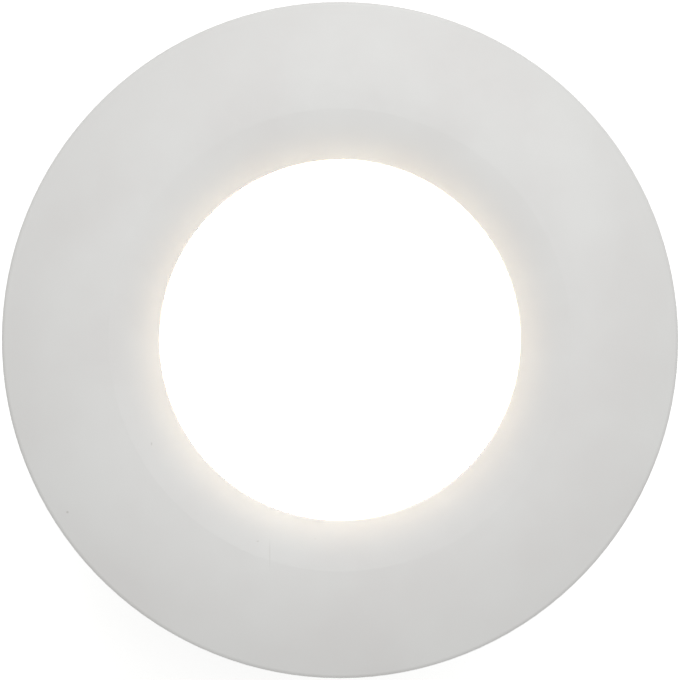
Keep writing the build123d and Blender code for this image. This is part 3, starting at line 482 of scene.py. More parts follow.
@dataclass(frozen=True)
class TurnedCasting(Casting):
    """A casting whose top face was turned flat on a lathe: fine bright rings above its cut height.

    The rings are drawn further apart than a finishing cut leaves them, so that they show.
    """

    ring_mm: float = 0.4
    ring_depth_mm: float = 0.01
    cut_mm: tuple[float, float] = (0.85, 0.95)  # heights between which the turned face starts
    smoothing: float = 0.5  # share of the roughness that turning takes off

    def wire(self, tree: Tree, coords: Socket, shader: bpy.types.Node) -> None:
        """Adds the casting's grain, and the rings on its turned face, in the way that Finish.wire says."""
        super().wire(tree, coords, shader)
        height = add_node(tree, "ShaderNodeSeparateXYZ", {"Vector": coords}).outputs["Z"]
        turned = rescale(tree, height, tuple(h * MM for h in self.cut_mm), (0, 1))
        flat = add_node(
            tree, "ShaderNodeVectorMath", {0: coords, 1: (1, 1, 0)}, operation="MULTIPLY"
        )
        out = add_node(tree, "ShaderNodeVectorMath", {0: flat.outputs["Vector"]}, operation="LENGTH")
        phase = add_node(
            tree,
            "ShaderNodeMath",
            {0: out.outputs["Value"], 1: FULL_TURN * per_mm(self.ring_mm)},
            operation="MULTIPLY",
        )
        wave = add_node(tree, "ShaderNodeMath", {0: phase.outputs[0]}, operation="SINE")
        cut = add_node(tree, "ShaderNodeMath", {0: wave.outputs[0], 1: turned}, operation="MULTIPLY")
        rough = shader.inputs["Roughness"].links[0].from_socket
        smooth = add_node(
            tree,
            "ShaderNodeMath",
            {0: turned, 1: self.roughness * self.smoothing},
            operation="MULTIPLY",
        )
        left = add_node(tree, "ShaderNodeMath", {0: rough, 1: smooth.outputs[0]}, operation="SUBTRACT")
        tree.links.new(left.outputs[0], shader.inputs["Roughness"])
        grain = shader.inputs["Normal"].links[0].from_socket
        rings = add_node(
            tree,
            "ShaderNodeBump",
            {"Height": cut.outputs[0], "Distance": self.ring_depth_mm * MM, "Normal": grain},
        )
        tree.links.new(rings.outputs["Normal"], shader.inputs["Normal"])


@dataclass(frozen=True)
class Moulding(Finish):
    """Moulded plastic or rubber: a fine eroded grain from the tool, and slow patches of sheen."""

    other: str = "#202123"
    patch_mm: float = 9.0
    patch_detail: float = 3.0
    grain_mm: float = 0.3
    grain_depth_mm: float = 0.012

    def wire(self, tree: Tree, coords: Socket, shader: bpy.types.Node) -> None:
        """Adds the patches and the grain, in the way that Finish.wire says."""
        patch = patches(tree, coords, self.patch_mm, self.patch_detail)
        self.tint(tree, shader, rescale(tree, patch, NOISE_MIDDLE, (0, 1)), self.other)
        self.dull(tree, shader, patch)
        self.emboss(tree, shader, patches(tree, coords, self.grain_mm), self.grain_depth_mm)


@dataclass(frozen=True)
class ScuffedMoulding(Moulding):
    """Black plastic from a spark-eroded tool, with pale hair scratches from packing and fitting.

    Its grain is drawn coarser than the tool leaves it, so that it shows.
    """

    scuff: str = "#4a4b4c"
    scuff_mm: tuple[float, float, float] = (9.0, 9.0, 0.16)
    scuff_share: tuple[float, float] = (0.66, 0.78)  # where in the noise a scratch starts and is full
    worn_share: tuple[float, float] = (0.5, 0.65)  # the same for the patches that have scratches

    def wire(self, tree: Tree, coords: Socket, shader: bpy.types.Node) -> None:
        """Adds the grain, the patches and the scratches, in the way that Finish.wire says."""
        super().wire(tree, coords, shader)
        skin = shader.inputs["Base Color"].links[0].from_socket
        hairs = rescale(tree, stretched(tree, coords, self.scuff_mm), self.scuff_share, (0, 1))
        worn = rescale(tree, patches(tree, coords, self.patch_mm), self.worn_share, (0, 1))
        both = add_node(tree, "ShaderNodeMath", {0: hairs, 1: worn}, operation="MULTIPLY")
        scuffed = blend_colours(tree, both.outputs[0], skin, self.scuff)
        tree.links.new(scuffed, shader.inputs["Base Color"])


@dataclass(frozen=True)
class FilledNylon(Finish):
    """Glass-filled nylon: near black, with short pale fibres just under a satin skin.

    Real fibres are too fine to see one by one, so these are drawn much coarser.
    """

    fibre: str = "#3a3a3b"
    fibre_mm: tuple[float, float, float] = (0.12, 0.12, 1.6)
    fibre_share: tuple[float, float] = (0.6, 0.75)  # where in the noise a fibre starts and is full
    grain_depth_mm: float = 0.008

    def wire(self, tree: Tree, coords: Socket, shader: bpy.types.Node) -> None:
        """Adds the fibres, in the way that Finish.wire says."""
        fibres = stretched(tree, coords, self.fibre_mm)
        self.tint(tree, shader, rescale(tree, fibres, self.fibre_share, (0, 1)), self.fibre)
        self.dull(tree, shader, fibres)
        self.emboss(tree, shader, fibres, self.grain_depth_mm)


@dataclass(frozen=True)
class RolledSteel(Finish):
    """Rolled strip and drawn wire: bright, with fine lines along the light's axis.

    The lines are drawn much coarser than rolling leaves them, so that they show.
    """

    line: str = "#a9a7a2"
    line_mm: tuple[float, float, float] = (0.1, 0.1, 5.0)
    line_share: tuple[float, float] = (0.35, 0.7)  # where in the noise a line starts and is full
    line_depth_mm: float = 0.002

    def wire(self, tree: Tree, coords: Socket, shader: bpy.types.Node) -> None:
        """Adds the rolling lines, in the way that Finish.wire says."""
        lines = stretched(tree, coords, self.line_mm)
        self.tint(tree, shader, rescale(tree, lines, self.line_share, (0, 1)), self.line)
        self.dull(tree, shader, lines)
        self.emboss(tree, shader, lines, self.line_depth_mm)


@dataclass(frozen=True)
class Parted(Finish):
    """Two materials on one piece: what lies inside a box has the other colour and roughness."""

    other: str = "#ffffff"
    other_roughness: float = 0.5
    box: tuple[tuple[float, float, float], tuple[float, float, float]] = ((0, 0, 0), (0, 0, 0))
    grain_mm: float = 0.25
    grain_depth_mm: float = 0.006

    def wire(self, tree: Tree, coords: Socket, shader: bpy.types.Node) -> None:
        """Adds the second material and a grain, in the way that Finish.wire says."""
        inside = within(tree, coords, (Vector(self.box[0]), Vector(self.box[1])))
        self.tint(tree, shader, inside, self.other)
        rough = rescale(tree, inside, (0, 1), (self.roughness, self.other_roughness))
        tree.links.new(rough, shader.inputs["Roughness"])
        self.emboss(tree, shader, patches(tree, coords, self.grain_mm), self.grain_depth_mm)


@dataclass(frozen=True)
class CircuitBoard(Finish):
    """Solder mask over etched copper: bundles of tracks show through it as paler, raised lanes."""

    track: str = "#2f8050"
    lane_mm: float = 1.1
    lane_share: float = 0.45  # of the lane's pitch that is copper
    edge_mm: float = 0.05  # width of a track's sloped edge
    field_mm: float = 7.0  # width of a bundle of tracks that run the same way
    along_y_share: float = 0.5  # of the bundles, where the others run along X
    track_depth_mm: float = 0.035

    def wire(self, tree: Tree, coords: Socket, shader: bpy.types.Node) -> None:
        """Adds the tracks, in the way that Finish.wire says."""
        fields = add_node(
            tree,
            "ShaderNodeTexVoronoi",
            {"Vector": coords, "Scale": per_mm(self.field_mm)},
            distance="CHEBYCHEV",
        )
        chance = add_node(tree, "ShaderNodeSeparateColor", {"Color": fields.outputs["Color"]})
        along = add_node(
            tree,
            "ShaderNodeMath",
            {0: chance.outputs["Red"], 1: self.along_y_share},
            operation="GREATER_THAN",
        )
        place = add_node(tree, "ShaderNodeSeparateXYZ", {"Vector": coords})
        across = pick(tree, along.outputs[0], place.outputs["X"], place.outputs["Y"])
        lanes = add_node(
            tree, "ShaderNodeMath", {0: across, 1: self.lane_mm * MM}, operation="FLOORED_MODULO"
        )
        edge = self.lane_mm * MM * self.lane_share
        tracks = rescale(tree, lanes.outputs[0], (edge, edge + self.edge_mm * MM), (1, 0))
        self.tint(tree, shader, tracks, self.track)
        self.emboss(tree, shader, tracks, self.track_depth_mm)


# Specks, ticks and one faint scratch, so that the coat doesn't look drawn
RING_MARKS = (
    Mark((-34.2, -21.6), (0.42, 0.38), 0.42),
    Mark((-23.6, -13.0), (0.22, 0.55), 0.34),
    Mark((-10.3, -25.2), (0.45, 0.2), 0.32),
    Mark((-8.8, -26.7), (0.24, 4.6), 0.13),
    Mark((-3.1, -24.9), (0.4, 0.3), 0.1),
)
# Powder-coated aluminium: a satin white that shades softly round the dome
POWDER_WHITE = PowderCoat("white_powder_coat", "#dddddb", 0.4, marks=RING_MARKS)
# Polished opal acrylic: an even warm light in which no single LED shows
OPAL = OpalAcrylic("opal_acrylic", "#f3f1ea", 0.16, ior=1.49)
# Die-cast aluminium, shot-blasted: a matt silver grey without clear reflections
CAST = Casting("cast_aluminium", "#bcbec0", 0.46, metallic=1.0)
# The same casting with its flange turned: a brighter ringed face over matt sides
TURNED = TurnedCasting("cast_aluminium", "#bcbec0", 0.46, metallic=1.0, label="turned_aluminium")
# Moulded ABS: a leathery black that greys where it has been scuffed
SLEEVE_BLACK = ScuffedMoulding(
    "black_abs",
    "#1a1b1c",
    0.44,
    ior=1.53,
    other="#232425",
    patch_mm=14.0,
    grain_mm=0.7,
    grain_depth_mm=0.07,
)
# Moulded glass-filled nylon: a satin black with a broken sheen
NYLON = FilledNylon("black_nylon", "#171717", 0.44, ior=1.53)
# Moulded nitrile rubber: the dullest black, with hardly a highlight
RUBBER = Moulding("black_rubber", "#161616", 0.72, other="#212121", grain_mm=0.5)
# Die-cut silicone sheet: a soft mid grey
SILICONE = Moulding("grey_silicone", "#8f908e", 0.6, ior=1.41, other="#9b9c9a")
# Skived PTFE sheet: a smooth waxy white
PTFE = Moulding("white_ptfe", "#e6e5e0", 0.34, ior=1.35, other="#dddcd6")
# Moulded reflective white plastic: a clean gloss that throws the light back
REFLECTOR = Moulding("white_reflector", "#f0efe9", 0.24, other="#e9e8e1", grain_mm=0.6)
# Rolled stainless steel: bright and slightly warm, with streaked highlights
STEEL = RolledSteel("stainless_steel", "#c9c8c4", 0.27, metallic=1.0)
# Filled silicone sheet: a flat blue grey
PAD = Moulding("thermal_pad_grey", "#7b8085", 0.7, other="#858a8f", grain_mm=0.2)
# White solder mask on aluminium: a clean white with faint broad copper fields
BOARD_WHITE = CircuitBoard("white_board", "#e9e9e4", 0.3, track="#dfdfd8", lane_mm=2.4)
# Green solder mask on glass and epoxy: a glossy deep green with paler tracks
BOARD_GREEN = CircuitBoard("green_board", "#1d5a36", 0.28)
# Moulded epoxy: the flat black of small electronic parts
EPOXY = Moulding("black_epoxy", "#1a1a1b", 0.5, other="#242425", grain_mm=0.15)
# Moulded polyamide: the plain green of a screw terminal
TERMINAL = Moulding("terminal_plastic", "#3d7d4d", 0.42, ior=1.53, other="#468857")
# Polycarbonate film: a smooth cream sheet
LINER = Moulding("liner_film", "#d6d0bd", 0.36, ior=1.58, other="#cec7b2")
# Silicone over phosphor: the egg yellow of an LED that is off
PHOSPHOR = Moulding("led_phosphor", "#e6bd3c", 0.3, ior=1.41, other="#eac84f", grain_mm=0.1)
# Nickel-plated brass: a pale metal, a little yellow
PLATED = RolledSteel("plated_brass", "#c8bfa0", 0.24, metallic=1.0, line="#b9af8d")
# Enamelled copper wire: a warm reddish metal
COPPER = RolledSteel("copper_winding", "#b4683f", 0.3, metallic=1.0, line="#a45a34")
# Sintered ferrite: a dull charcoal grey
FERRITE = Moulding("ferrite_and_tape", "#2d2d30", 0.55, other="#37373b", label="ferrite_finish")


def dress(finish: Finish, *nodes: str) -> None:
    """Gives CAD nodes their finish.

    Args:
        finish: the finish.
        nodes: names of the nodes.
    """
    for name in nodes:
        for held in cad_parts[name].material_slots:
            held.material = finish.material()
        log.info("dressed %s in %s", name, finish.slot)


def make_piece(
    name: str,
    bm: bmesh.types.BMesh,
    body: str | None,
    finishes: Iterable[Finish],
    replaces: Iterable[str] = (),
) -> bpy.types.Object:
    """Turns a finished bmesh into a piece of the light.

    Args:
        name: the piece's name.
        bm: its shape, which is freed here.
        body: the body that it moves with, or None for a piece that is attached to no body.
        finishes: the finish of each material index.
        replaces: CAD nodes that it stands for.

    Returns:
        The new object.
    """
    mesh = bpy.data.meshes.new(name)
    bm.to_mesh(mesh)
    bm.free()
    mesh.shade_smooth()
    mesh.set_sharp_from_angle(angle=SMOOTH_ANGLE)
    finishes = list(finishes)
    for finish in finishes:
        mesh.materials.append(finish.material())
    obj = bpy.data.objects.new(name, mesh)
    bpy.context.collection.objects.link(obj)
    if body:
        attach(obj, body)
    if replaces:
        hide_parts(*replaces)
    log.info("made %s with %d faces", name, len(mesh.polygons))
    return obj


def stamp(whole: bmesh.types.BMesh, one: bmesh.types.BMesh, place: Matrix) -> None:
    """Adds a copy of a shape to another.

    Args:
        whole: the shape that it is added to.
        one: the shape, at the origin, which stays as it is.
        place: where the copy goes.
    """
    held = bpy.data.meshes.new("stamp")
    one.to_mesh(held)
    held.transform(place)
    whole.from_mesh(held)
    bpy.data.meshes.remove(held)


def solids_of(node: str) -> list[Box]:
    """Finds the separate solids of a CAD node.

    Args:
        node: the node's name.

    Returns:
        The box of each solid, in order of the angle round the light's axis.
    """
    bm = bmesh.new()
    bm.from_mesh(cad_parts[node].data)
    bmesh.ops.remove_doubles(bm, verts=bm.verts, dist=WELD)
    left = set(bm.verts)
    boxes = []
    for seed in bm.verts:
        if seed not in left:
            continue
        left.remove(seed)
        island = [seed]
        for vert in island:
            near = [e.other_vert(vert) for e in vert.link_edges]
            fresh = [v for v in near if v in left]
            left.difference_update(fresh)
            island.extend(dict.fromkeys(fresh))
        low = Vector(min(v.co[i] for v in island) for i in range(3))
        high = Vector(max(v.co[i] for v in island) for i in range(3))
        boxes.append((low, high))
    bm.free()

    def turn(box: Box) -> float:
        """The angle of a box's middle round the axis, to a tenth of a degree."""
        middle = (box[0] + box[1]) / 2
        return round(math.degrees(math.atan2(middle.y, middle.x)), 1)

    return sorted(boxes, key=lambda b: (turn(b), b[0].z))


def flat_top(bm: bmesh.types.BMesh) -> bmesh.types.BMFace:
    """Finds the flat on top of a shape: of the highest faces, the one with the most corners."""
    return max(bm.faces, key=lambda f: (round(f.calc_center_median().z, 7), len(f.verts)))


def push(bm: bmesh.types.BMesh, face: bmesh.types.BMFace, rise: float) -> bmesh.types.BMFace:
    """Extrudes a face along Z. A face that stands alone also stays where it was, as the other end.

    Args:
        bm: the shape.
        face: the face.
        rise: how far, downwards if negative.

    Returns:
        The face in its new place.
    """
    region = [face, *face.edges, *face.verts]
    made = bmesh.ops.extrude_face_region(bm, geom=region)["geom"]
    verts = [g for g in made if isinstance(g, bmesh.types.BMVert)]
    bmesh.ops.translate(bm, verts=verts, vec=(0, 0, rise))
    return next(g for g in made if isinstance(g, bmesh.types.BMFace))


def inset(bm: bmesh.types.BMesh, face: bmesh.types.BMFace, width: float) -> bmesh.types.BMFace:
    """Insets a face.

    Args:
        bm: the shape.
        face: the face.
        width: width of the border that it leaves.

    Returns:
        The inner face.
    """
    bmesh.ops.inset_individual(bm, faces=[face], thickness=width, use_even_offset=True)
    return face


def add_thread(
    bm: bmesh.types.BMesh, radius: float, height: float, pitch: float, low: float, high: float
) -> None:
    """Adds the ridge of a right-handed thread round the Z axis.

    Args:
        bm: the shape that it is added to.
        radius: of the thread's root.
        height: of the ridge above its root.
        pitch: rise for each turn.
        low: where the ridge starts.
        high: where it ends.
    """
    half_root = THREAD_ROOT * pitch
    half_crest = THREAD_CREST * pitch
    turns = (high - low - 2 * half_root) / pitch
    section = (
        (radius, -half_root),
        (radius + height, -half_crest),
        (radius + height, half_crest),
        (radius, half_root),
    )
    verts = [bm.verts.new((x, 0, low + half_root + z)) for x, z in section]
    start = bm.faces.new(verts)
    bmesh.ops.spin(
        bm,
        geom=[start, *start.edges, *start.verts],
        cent=(0, 0, 0),
        axis=(0, 0, 1),
        dvec=(0, 0, pitch / STEPS_PER_TURN),
        angle=FULL_TURN * turns,
        steps=round(STEPS_PER_TURN * turns),
    )


class Recess(Enum):
    """The shape of the recess in a screw's head."""

    SIX_LOBES = "six lobes"
    HEXAGON = "hexagon"
    CROSS = "cross"

    def reach(self, angle: float) -> float:
        """Gives the outline of the recess.

        Args:
            angle: direction from its middle.

        Returns:
            Distance to its edge in that direction, where the widest is 1.
        """
        if self is Recess.SIX_LOBES:
            return 1 - LOBE_WAVE + LOBE_WAVE * math.cos(6 * angle)
        if self is Recess.HEXAGON:
            sixth = FULL_TURN / 6
            return math.cos(sixth / 2) / math.cos(angle % sixth - sixth / 2)
        return CROSS_WAIST + (1 - CROSS_WAIST) * max(0.0, math.cos(4 * angle)) ** 2


@dataclass
class ScrewSet:
    """The screws of one CAD node, each made again with a recess and a thread where its solid is."""

    node: str
    axis: Vector
    recess: Recess
    finish: Finish = STEEL
    flat: bool = False
    side_from_place: bool = False  # a screw on the far side of the light points the other way
    segments: int = 48
    head_share: float = 0.93  # head radius of a pan screw as a share of its thread's diameter
    flat_head_share: float = 0.92  # the same for a flat head
    head_h_share: float = 0.72  # height of a pan head as a share of the same
    edge_share: float = 0.24  # its rounding, as a share of the same
    edge_steps: int = 4
    recess_share: float = 0.55  # of the head's radius
    recess_depth_share: float = 0.55  # of the head's height
    core_share: float = 0.84  # of the thread's radius
    sunk_share: float = 0.98  # of the core's radius, where the thread's root lies
    pitch_share: float = 0.18  # of the thread's diameter

    def build(self) -> bpy.types.Object:
        """Makes every screw of the node as one piece.

        Returns:
            The piece.
        """
        boxes = solids_of(self.node)
        low, high = boxes[0]
        along = abs((high - low).dot(self.axis))
        across = [s for s, a in zip(high - low, self.axis) if not a]
        head_r = sum(across) / len(across) / 2
        one = self.screw(head_r, along)
        whole = bmesh.new()
        for low, high in boxes:
            middle = (low + high) / 2
            axis = -self.axis if self.side_from_place and middle.dot(self.axis) < 0 else self.axis
            turn = Vector((0, 0, 1)).rotation_difference(axis).to_matrix().to_4x4()
            stamp(whole, one, Matrix.Translation(middle + axis * along / 2) @ turn)
        one.free()
        return make_piece(self.node + "_cut", whole, "luminaire", [self.finish], [self.node])

    def screw(self, head_r: float, length: float) -> bmesh.types.BMesh:
        """Makes one screw with the top of its head at the origin and its shank below.

        Args:
            head_r: radius of the head.
            length: overall length.

        Returns:
            The shape.
        """
        thread_r = head_r / 2 / (self.flat_head_share if self.flat else self.head_share)
        head_h = head_r - thread_r if self.flat else 2 * thread_r * self.head_h_share
        edge = 2 * thread_r * self.edge_share
        core_r = thread_r * self.core_share
        bm = bmesh.new()
        bmesh.ops.create_circle(bm, cap_ends=True, segments=self.segments, radius=core_r)
        bmesh.ops.translate(bm, verts=bm.verts, vec=(0, 0, -length))
        top = push(bm, next(iter(bm.faces)), length - head_h)
        spread = (head_r / core_r, head_r / core_r, 1)
        if self.flat:
            top = push(bm, top, head_h)
            bmesh.ops.scale(bm, vec=spread, verts=top.verts)
        else:
            bearing = push(bm, top, 0)
            bmesh.ops.scale(bm, vec=spread, verts=bearing.verts)
            top = push(bm, bearing, head_h)
            bmesh.ops.bevel(
                bm,
                geom=list(top.edges),
                offset=edge,
                affect="EDGES",
                segments=self.edge_steps,
                profile=0.5,
                material=-1,
            )
            top = flat_top(bm)
        self.cut_recess(bm, top, head_r, head_h)
        bmesh.ops.recalc_face_normals(bm, faces=bm.faces)
        pitch = 2 * thread_r * self.pitch_share
        root_r = core_r * self.sunk_share
        add_thread(bm, root_r, thread_r - root_r, pitch, -length, -head_h)
        bmesh.ops.recalc_face_normals(bm, faces=bm.faces)
        return bm

    def cut_recess(
        self, bm: bmesh.types.BMesh, top: bmesh.types.BMFace, head_r: float, head_h: float
    ) -> None:
        """Sinks the recess into the flat of the head.

        Args:
            bm: the screw.
            top: the flat of its head.
            head_r: radius of the head.
            head_h: height of the head.
        """
        flat_r = max(v.co.xy.length for v in top.verts)
        reach = head_r * self.recess_share
        top = inset(bm, top, flat_r - reach)
        for vert in top.verts:
            angle = math.atan2(vert.co.y, vert.co.x)
            vert.co.xy = vert.co.xy.normalized() * reach * self.recess.reach(angle)
        push(bm, top, -head_h * self.recess_depth_share)


@dataclass
class TrimFace:
    """What shows from above: the trim ring on its thread, and the lens with its seals."""

    thread_pitch: float = 2.0 * MM  # which is how far the ring rises in a turn
    thread_h: float = 0.22 * MM
    thread_gap: float = 0.5 * MM  # plain skirt at both ends of the thread
    skirt_room: float = 0.3 * MM  # between the slip washer's edge and the skirt's face

    def build(self) -> None:
        """Dresses the ring, lens and seals and makes the ring's thread."""
        dress(POWDER_WHITE, "trim_ring")
        dress(OPAL, "lens")
        dress(PTFE, "slip_washer")
        dress(SILICONE, "lens_gasket")
        dress(RUBBER, "ring_seal")
        self.thread()

    def thread(self) -> bpy.types.Object:
        """Makes the thread round the ring's skirt.

        Returns:
            The piece.
        """
        washer_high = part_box("slip_washer")[1]
        skirt_r = washer_high.x + self.skirt_room
        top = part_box("mounting_frame")[1].z
        bm = bmesh.new()
        add_thread(
            bm,
            skirt_r,
            self.thread_h,
            self.thread_pitch,
            washer_high.z + self.thread_gap,
            top - self.thread_gap,
        )
        bmesh.ops.recalc_face_normals(bm, faces=bm.faces)
        return make_piece("trim_thread", bm, "trim", [POWDER_WHITE])


@dataclass
class Housing:
    """The castings that hold the light together, and their seals and screws."""

    def build(self) -> None:
        """Dresses the castings and seals and makes the screws."""
        dress(TURNED, "mounting_frame")
        dress(CAST, "housing", "rear_cap")
        dress(SILICONE, "frame_seal")
        dress(RUBBER, "cap_seal", "lead_grommet")
        ScrewSet("frame_screws", Vector((0, 0, 1)), Recess.SIX_LOBES, flat=True).build()
        ScrewSet("cap_screws", Vector((0, 0, -1)), Recess.HEXAGON).build()
        dress(PLATED, "earth_terminal")


@dataclass
class LightEngine:
    """The LED board in its white cone, with its packages, screws and leads."""

    cup_wall: float = 0.35 * MM  # white rim round an LED's phosphor
    cup_depth: float = 0.12 * MM
    solder_r: float = 1.0 * MM
    solder_rise: float = 0.75  # height of a joint as a share of its radius
    solder_sides: int = 24

    def build(self) -> None:
        """Dresses the cone, board and pad and makes the packages, screws and joints."""
        dress(REFLECTOR, "reflector")
        dress(BOARD_WHITE, "led_board")
        dress(PAD, "thermal_pad")
        low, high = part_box("led_leads")
        first = (tuple(low), (high.x, 0.0, high.z))
        # Extruded silicone jackets, one red and one black: a plain satin
        dress(
            Parted("lead_jacket", "#b3231d", 0.5, other="#1b1b1b", other_roughness=0.5, box=first),
            "led_leads",
        )
        ScrewSet("board_screws", Vector((0, 0, 1)), Recess.CROSS).build()
        self.packages()
        self.solder()

    def packages(self) -> bpy.types.Object:
        """Makes each LED as a white cup with its pool of phosphor.

        Returns:
            The piece.
        """
        boxes = solids_of("led_chips")
        upright = min(boxes, key=lambda b: (b[1] - b[0]).x)
        one = bmesh.new()
        bmesh.ops.create_cube(one, size=1)
        bmesh.ops.scale(one, vec=upright[1] - upright[0], verts=one.verts)
        top = inset(one, flat_top(one), self.cup_wall)
        pool = push(one, top, -self.cup_depth)
        for face in one.faces:
            face.material_index = 0 if face is pool else 1
        bm = bmesh.new()
        for low, high in boxes:
            middle = (low + high) / 2
            turn = Matrix.Rotation(math.atan2(middle.y, middle.x), 4, "Z")
            stamp(bm, one, Matrix.Translation(middle) @ turn)
        one.free()
        bmesh.ops.recalc_face_normals(bm, faces=bm.faces)
        return make_piece("led_packages", bm, "luminaire", [PHOSPHOR, REFLECTOR], ["led_chips"])

    def solder(self) -> bpy.types.Object:
        """Makes the two joints where the leads meet the LED board.

        Returns:
            The piece.
        """
        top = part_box("led_board")[1].z
        bm = bmesh.new()
        for low, high in solids_of("led_leads"):
            made = bmesh.ops.create_uvsphere(
                bm,
                u_segments=self.solder_sides,
                v_segments=self.solder_sides // 2,
                radius=self.solder_r,
            )
            bmesh.ops.scale(bm, vec=(1, 1, self.solder_rise), verts=made["verts"])
            spot = Vector((low.x, (low.y + high.y) / 2, top))
            bmesh.ops.translate(bm, vec=spot, verts=made["verts"])
        cut = [*bm.verts, *bm.edges, *bm.faces]
        bmesh.ops.bisect_plane(bm, geom=cut, plane_co=(0, 0, top), plane_no=(0, 0, -1), clear_outer=True)
        bmesh.ops.holes_fill(bm, edges=bm.edges)
        bmesh.ops.recalc_face_normals(bm, faces=bm.faces)
        # Solder sets about as bright as the steel, so the joints share its finish
        return make_piece("lead_joints", bm, "luminaire", [STEEL])


@dataclass
class Driver:
    """The driver in its cavity: the board, what hangs from it, and the liner round it."""

    core_leg: float = 3.2 * MM  # ferrite beside, above and below the transformer's winding
    can_end: float = 0.4 * MM  # bare end of a capacitor's can
    waist_r: float = 3.2 * MM  # of the choke's drum, where it is wound
    cheek: float = 1.5 * MM  # thickness of the drum's ends
    wire_r: float = 0.3 * MM
    wire_sides: int = 10
    wire_pitch_share: float = 2.1  # of the wire's radius, so that two turns lie just apart

    def build(self) -> None:
        """Dresses the board and its parts and makes the screws and the choke's winding."""
        dress(BOARD_GREEN, "driver_board")
        dress(LINER, "driver_liner")
        dress(EPOXY, "driver_chips")
        dress(TERMINAL, "input_terminal")
        ScrewSet("driver_screws", Vector((0, 0, -1)), Recess.CROSS).build()
        for node in ("input_capacitor", "output_capacitor"):
            self.capacitor(node)
        self.transformer()
        self.choke()

    def capacitor(self, node: str) -> None:
        """Gives a capacitor its dark sleeve and bare end.

        Args:
            node: the capacitor's node.
        """
        low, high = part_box(node)
        end = (tuple(low), (high.x, high.y, low.z + self.can_end))
        # Plastic film shrunk on an aluminium can: a glossy near black skin and a bright bare end
        dress(
            Parted(
                "capacitor_sleeve",
                "#14161f",
                0.32,
                label=node + "_finish",
                other="#b9bbbd",
                other_roughness=0.35,
                box=end,
            ),
            node,
        )

    def transformer(self) -> None:
        """Gives the transformer a ferrite core and a taped winding."""
        low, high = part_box("transformer")
        leg = self.core_leg
        taped = ((low.x + leg, low.y, low.z + leg), (high.x - leg, high.y, high.z - leg))
        # Sintered ferrite and polyester tape: a dull charcoal core round a glossy amber winding
        dress(
            Parted(
                "ferrite_and_tape",
                "#2d2d30",
                0.55,
                label="transformer_finish",
                other="#d8ab34",
                other_roughness=0.3,
                box=taped,
            ),
            "transformer",
        )

    def choke(self) -> bpy.types.Object:
        """Winds the choke's copper wire round its ferrite drum.

        Returns:
            The winding.
        """
        dress(FERRITE, "driver_choke")
        low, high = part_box("driver_choke")
        pitch = self.wire_pitch_share * self.wire_r
        first = low.z + self.cheek + self.wire_r
        turns = (high.z - low.z - 2 * self.cheek - 2 * self.wire_r) / pitch
        steps = round(STEPS_PER_TURN * turns)
        bm = bmesh.new()
        made = bmesh.ops.create_circle(
            bm, cap_ends=True, segments=self.wire_sides, radius=self.wire_r
        )
        stand = Matrix.Rotation(math.pi / 2, 4, "X")
        place = Matrix.Translation((self.waist_r + self.wire_r, 0, first)) @ stand
        bmesh.ops.transform(bm, matrix=place, verts=made["verts"])
        bmesh.ops.spin(
            bm,
            geom=[*bm.faces, *bm.edges, *bm.verts],
            cent=(0, 0, 0),
            axis=(0, 0, 1),
            dvec=(0, 0, pitch * turns / steps),
            angle=FULL_TURN * turns,
            steps=steps,
        )
        centre = (low + high) / 2
        bmesh.ops.translate(bm, verts=bm.verts, vec=(centre.x, centre.y, 0))
        bmesh.ops.recalc_face_normals(bm, faces=bm.faces)
        return make_piece("choke_winding", bm, "luminaire", [COPPER])


@dataclass
class CableGland:
    """The gland in the rear cap, open for the supply cable."""

    def build(self) -> None:
        """Dresses the gland."""
        dress(NYLON, "gland_body", "gland_nut")
        dress(RUBBER, "gland_washer", "gland_seal")


@dataclass
class SpringClips:
    """The two sprung arms that hold the housing in its sleeve."""

    sides: tuple[str, str] = ("right", "left")
    wire_d: float = 0.8 * MM

    def build(self) -> None:
        """Dresses the clips and makes their springs and screws."""
        for side in self.sides:
            dress(STEEL, *(f"clip_{part}_{side}" for part in ("bracket", "pin", "arm")))
            dress(RUBBER, f"clip_grip_{side}")
            self.spring(side)
        ScrewSet(
            "bracket_screws", Vector((1, 0, 0)), Recess.SIX_LOBES, side_from_place=True
        ).build()

    def spring(self, side: str) -> bpy.types.Object:
        """Makes the clip's torsion spring again from its CAD node, as a piece that is attached to no body.

        Args:
            side: which clip it is in.

        Returns:
            The spring.
        """
        node = f"clip_spring_{side}"
        bm = bmesh.new()
        bm.from_mesh(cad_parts[node].data)
        bmesh.ops.remove_doubles(bm, verts=bm.verts, dist=WELD)
        low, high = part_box(node)
        tip_y = min(bm.verts, key=lambda v: v.co.z).co.y
        ends = [low.y + self.wire_d, high.y - self.wire_d]
        ends.sort(key=lambda y: abs(y - tip_y), reverse=True)
        coil = make_piece(f"clip_coil_{side}", bm, None, [STEEL], [node])
        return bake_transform(coil)


@dataclass
class GroundSleeve:
    """The sleeve that stays in the ground, and the flat seal on its collar."""

    def build(self) -> None:
        """Dresses the sleeve and its seal."""
        dress(SLEEVE_BLACK, "sleeve")
        dress(SILICONE, "seat_gasket")


@dataclass(frozen=True)
class SoftLamp:
    """A square soft lamp that faces the ring, its width in metres and its power in watts."""

    name: str
    place: tuple[float, float, float]
    width: float
    power: float

    def hang(self) -> None:
        """Makes the lamp, which no camera sees."""
        data = bpy.data.lights.new(self.name, "AREA")
        data.size = self.width
        data.energy = self.power
        obj = bpy.data.objects.new(self.name, data)
        obj.location = self.place
        obj.rotation_euler = (-Vector(self.place)).to_track_quat("-Z", "Y").to_euler()
        obj.visible_camera = False
        bpy.context.collection.objects.link(obj)


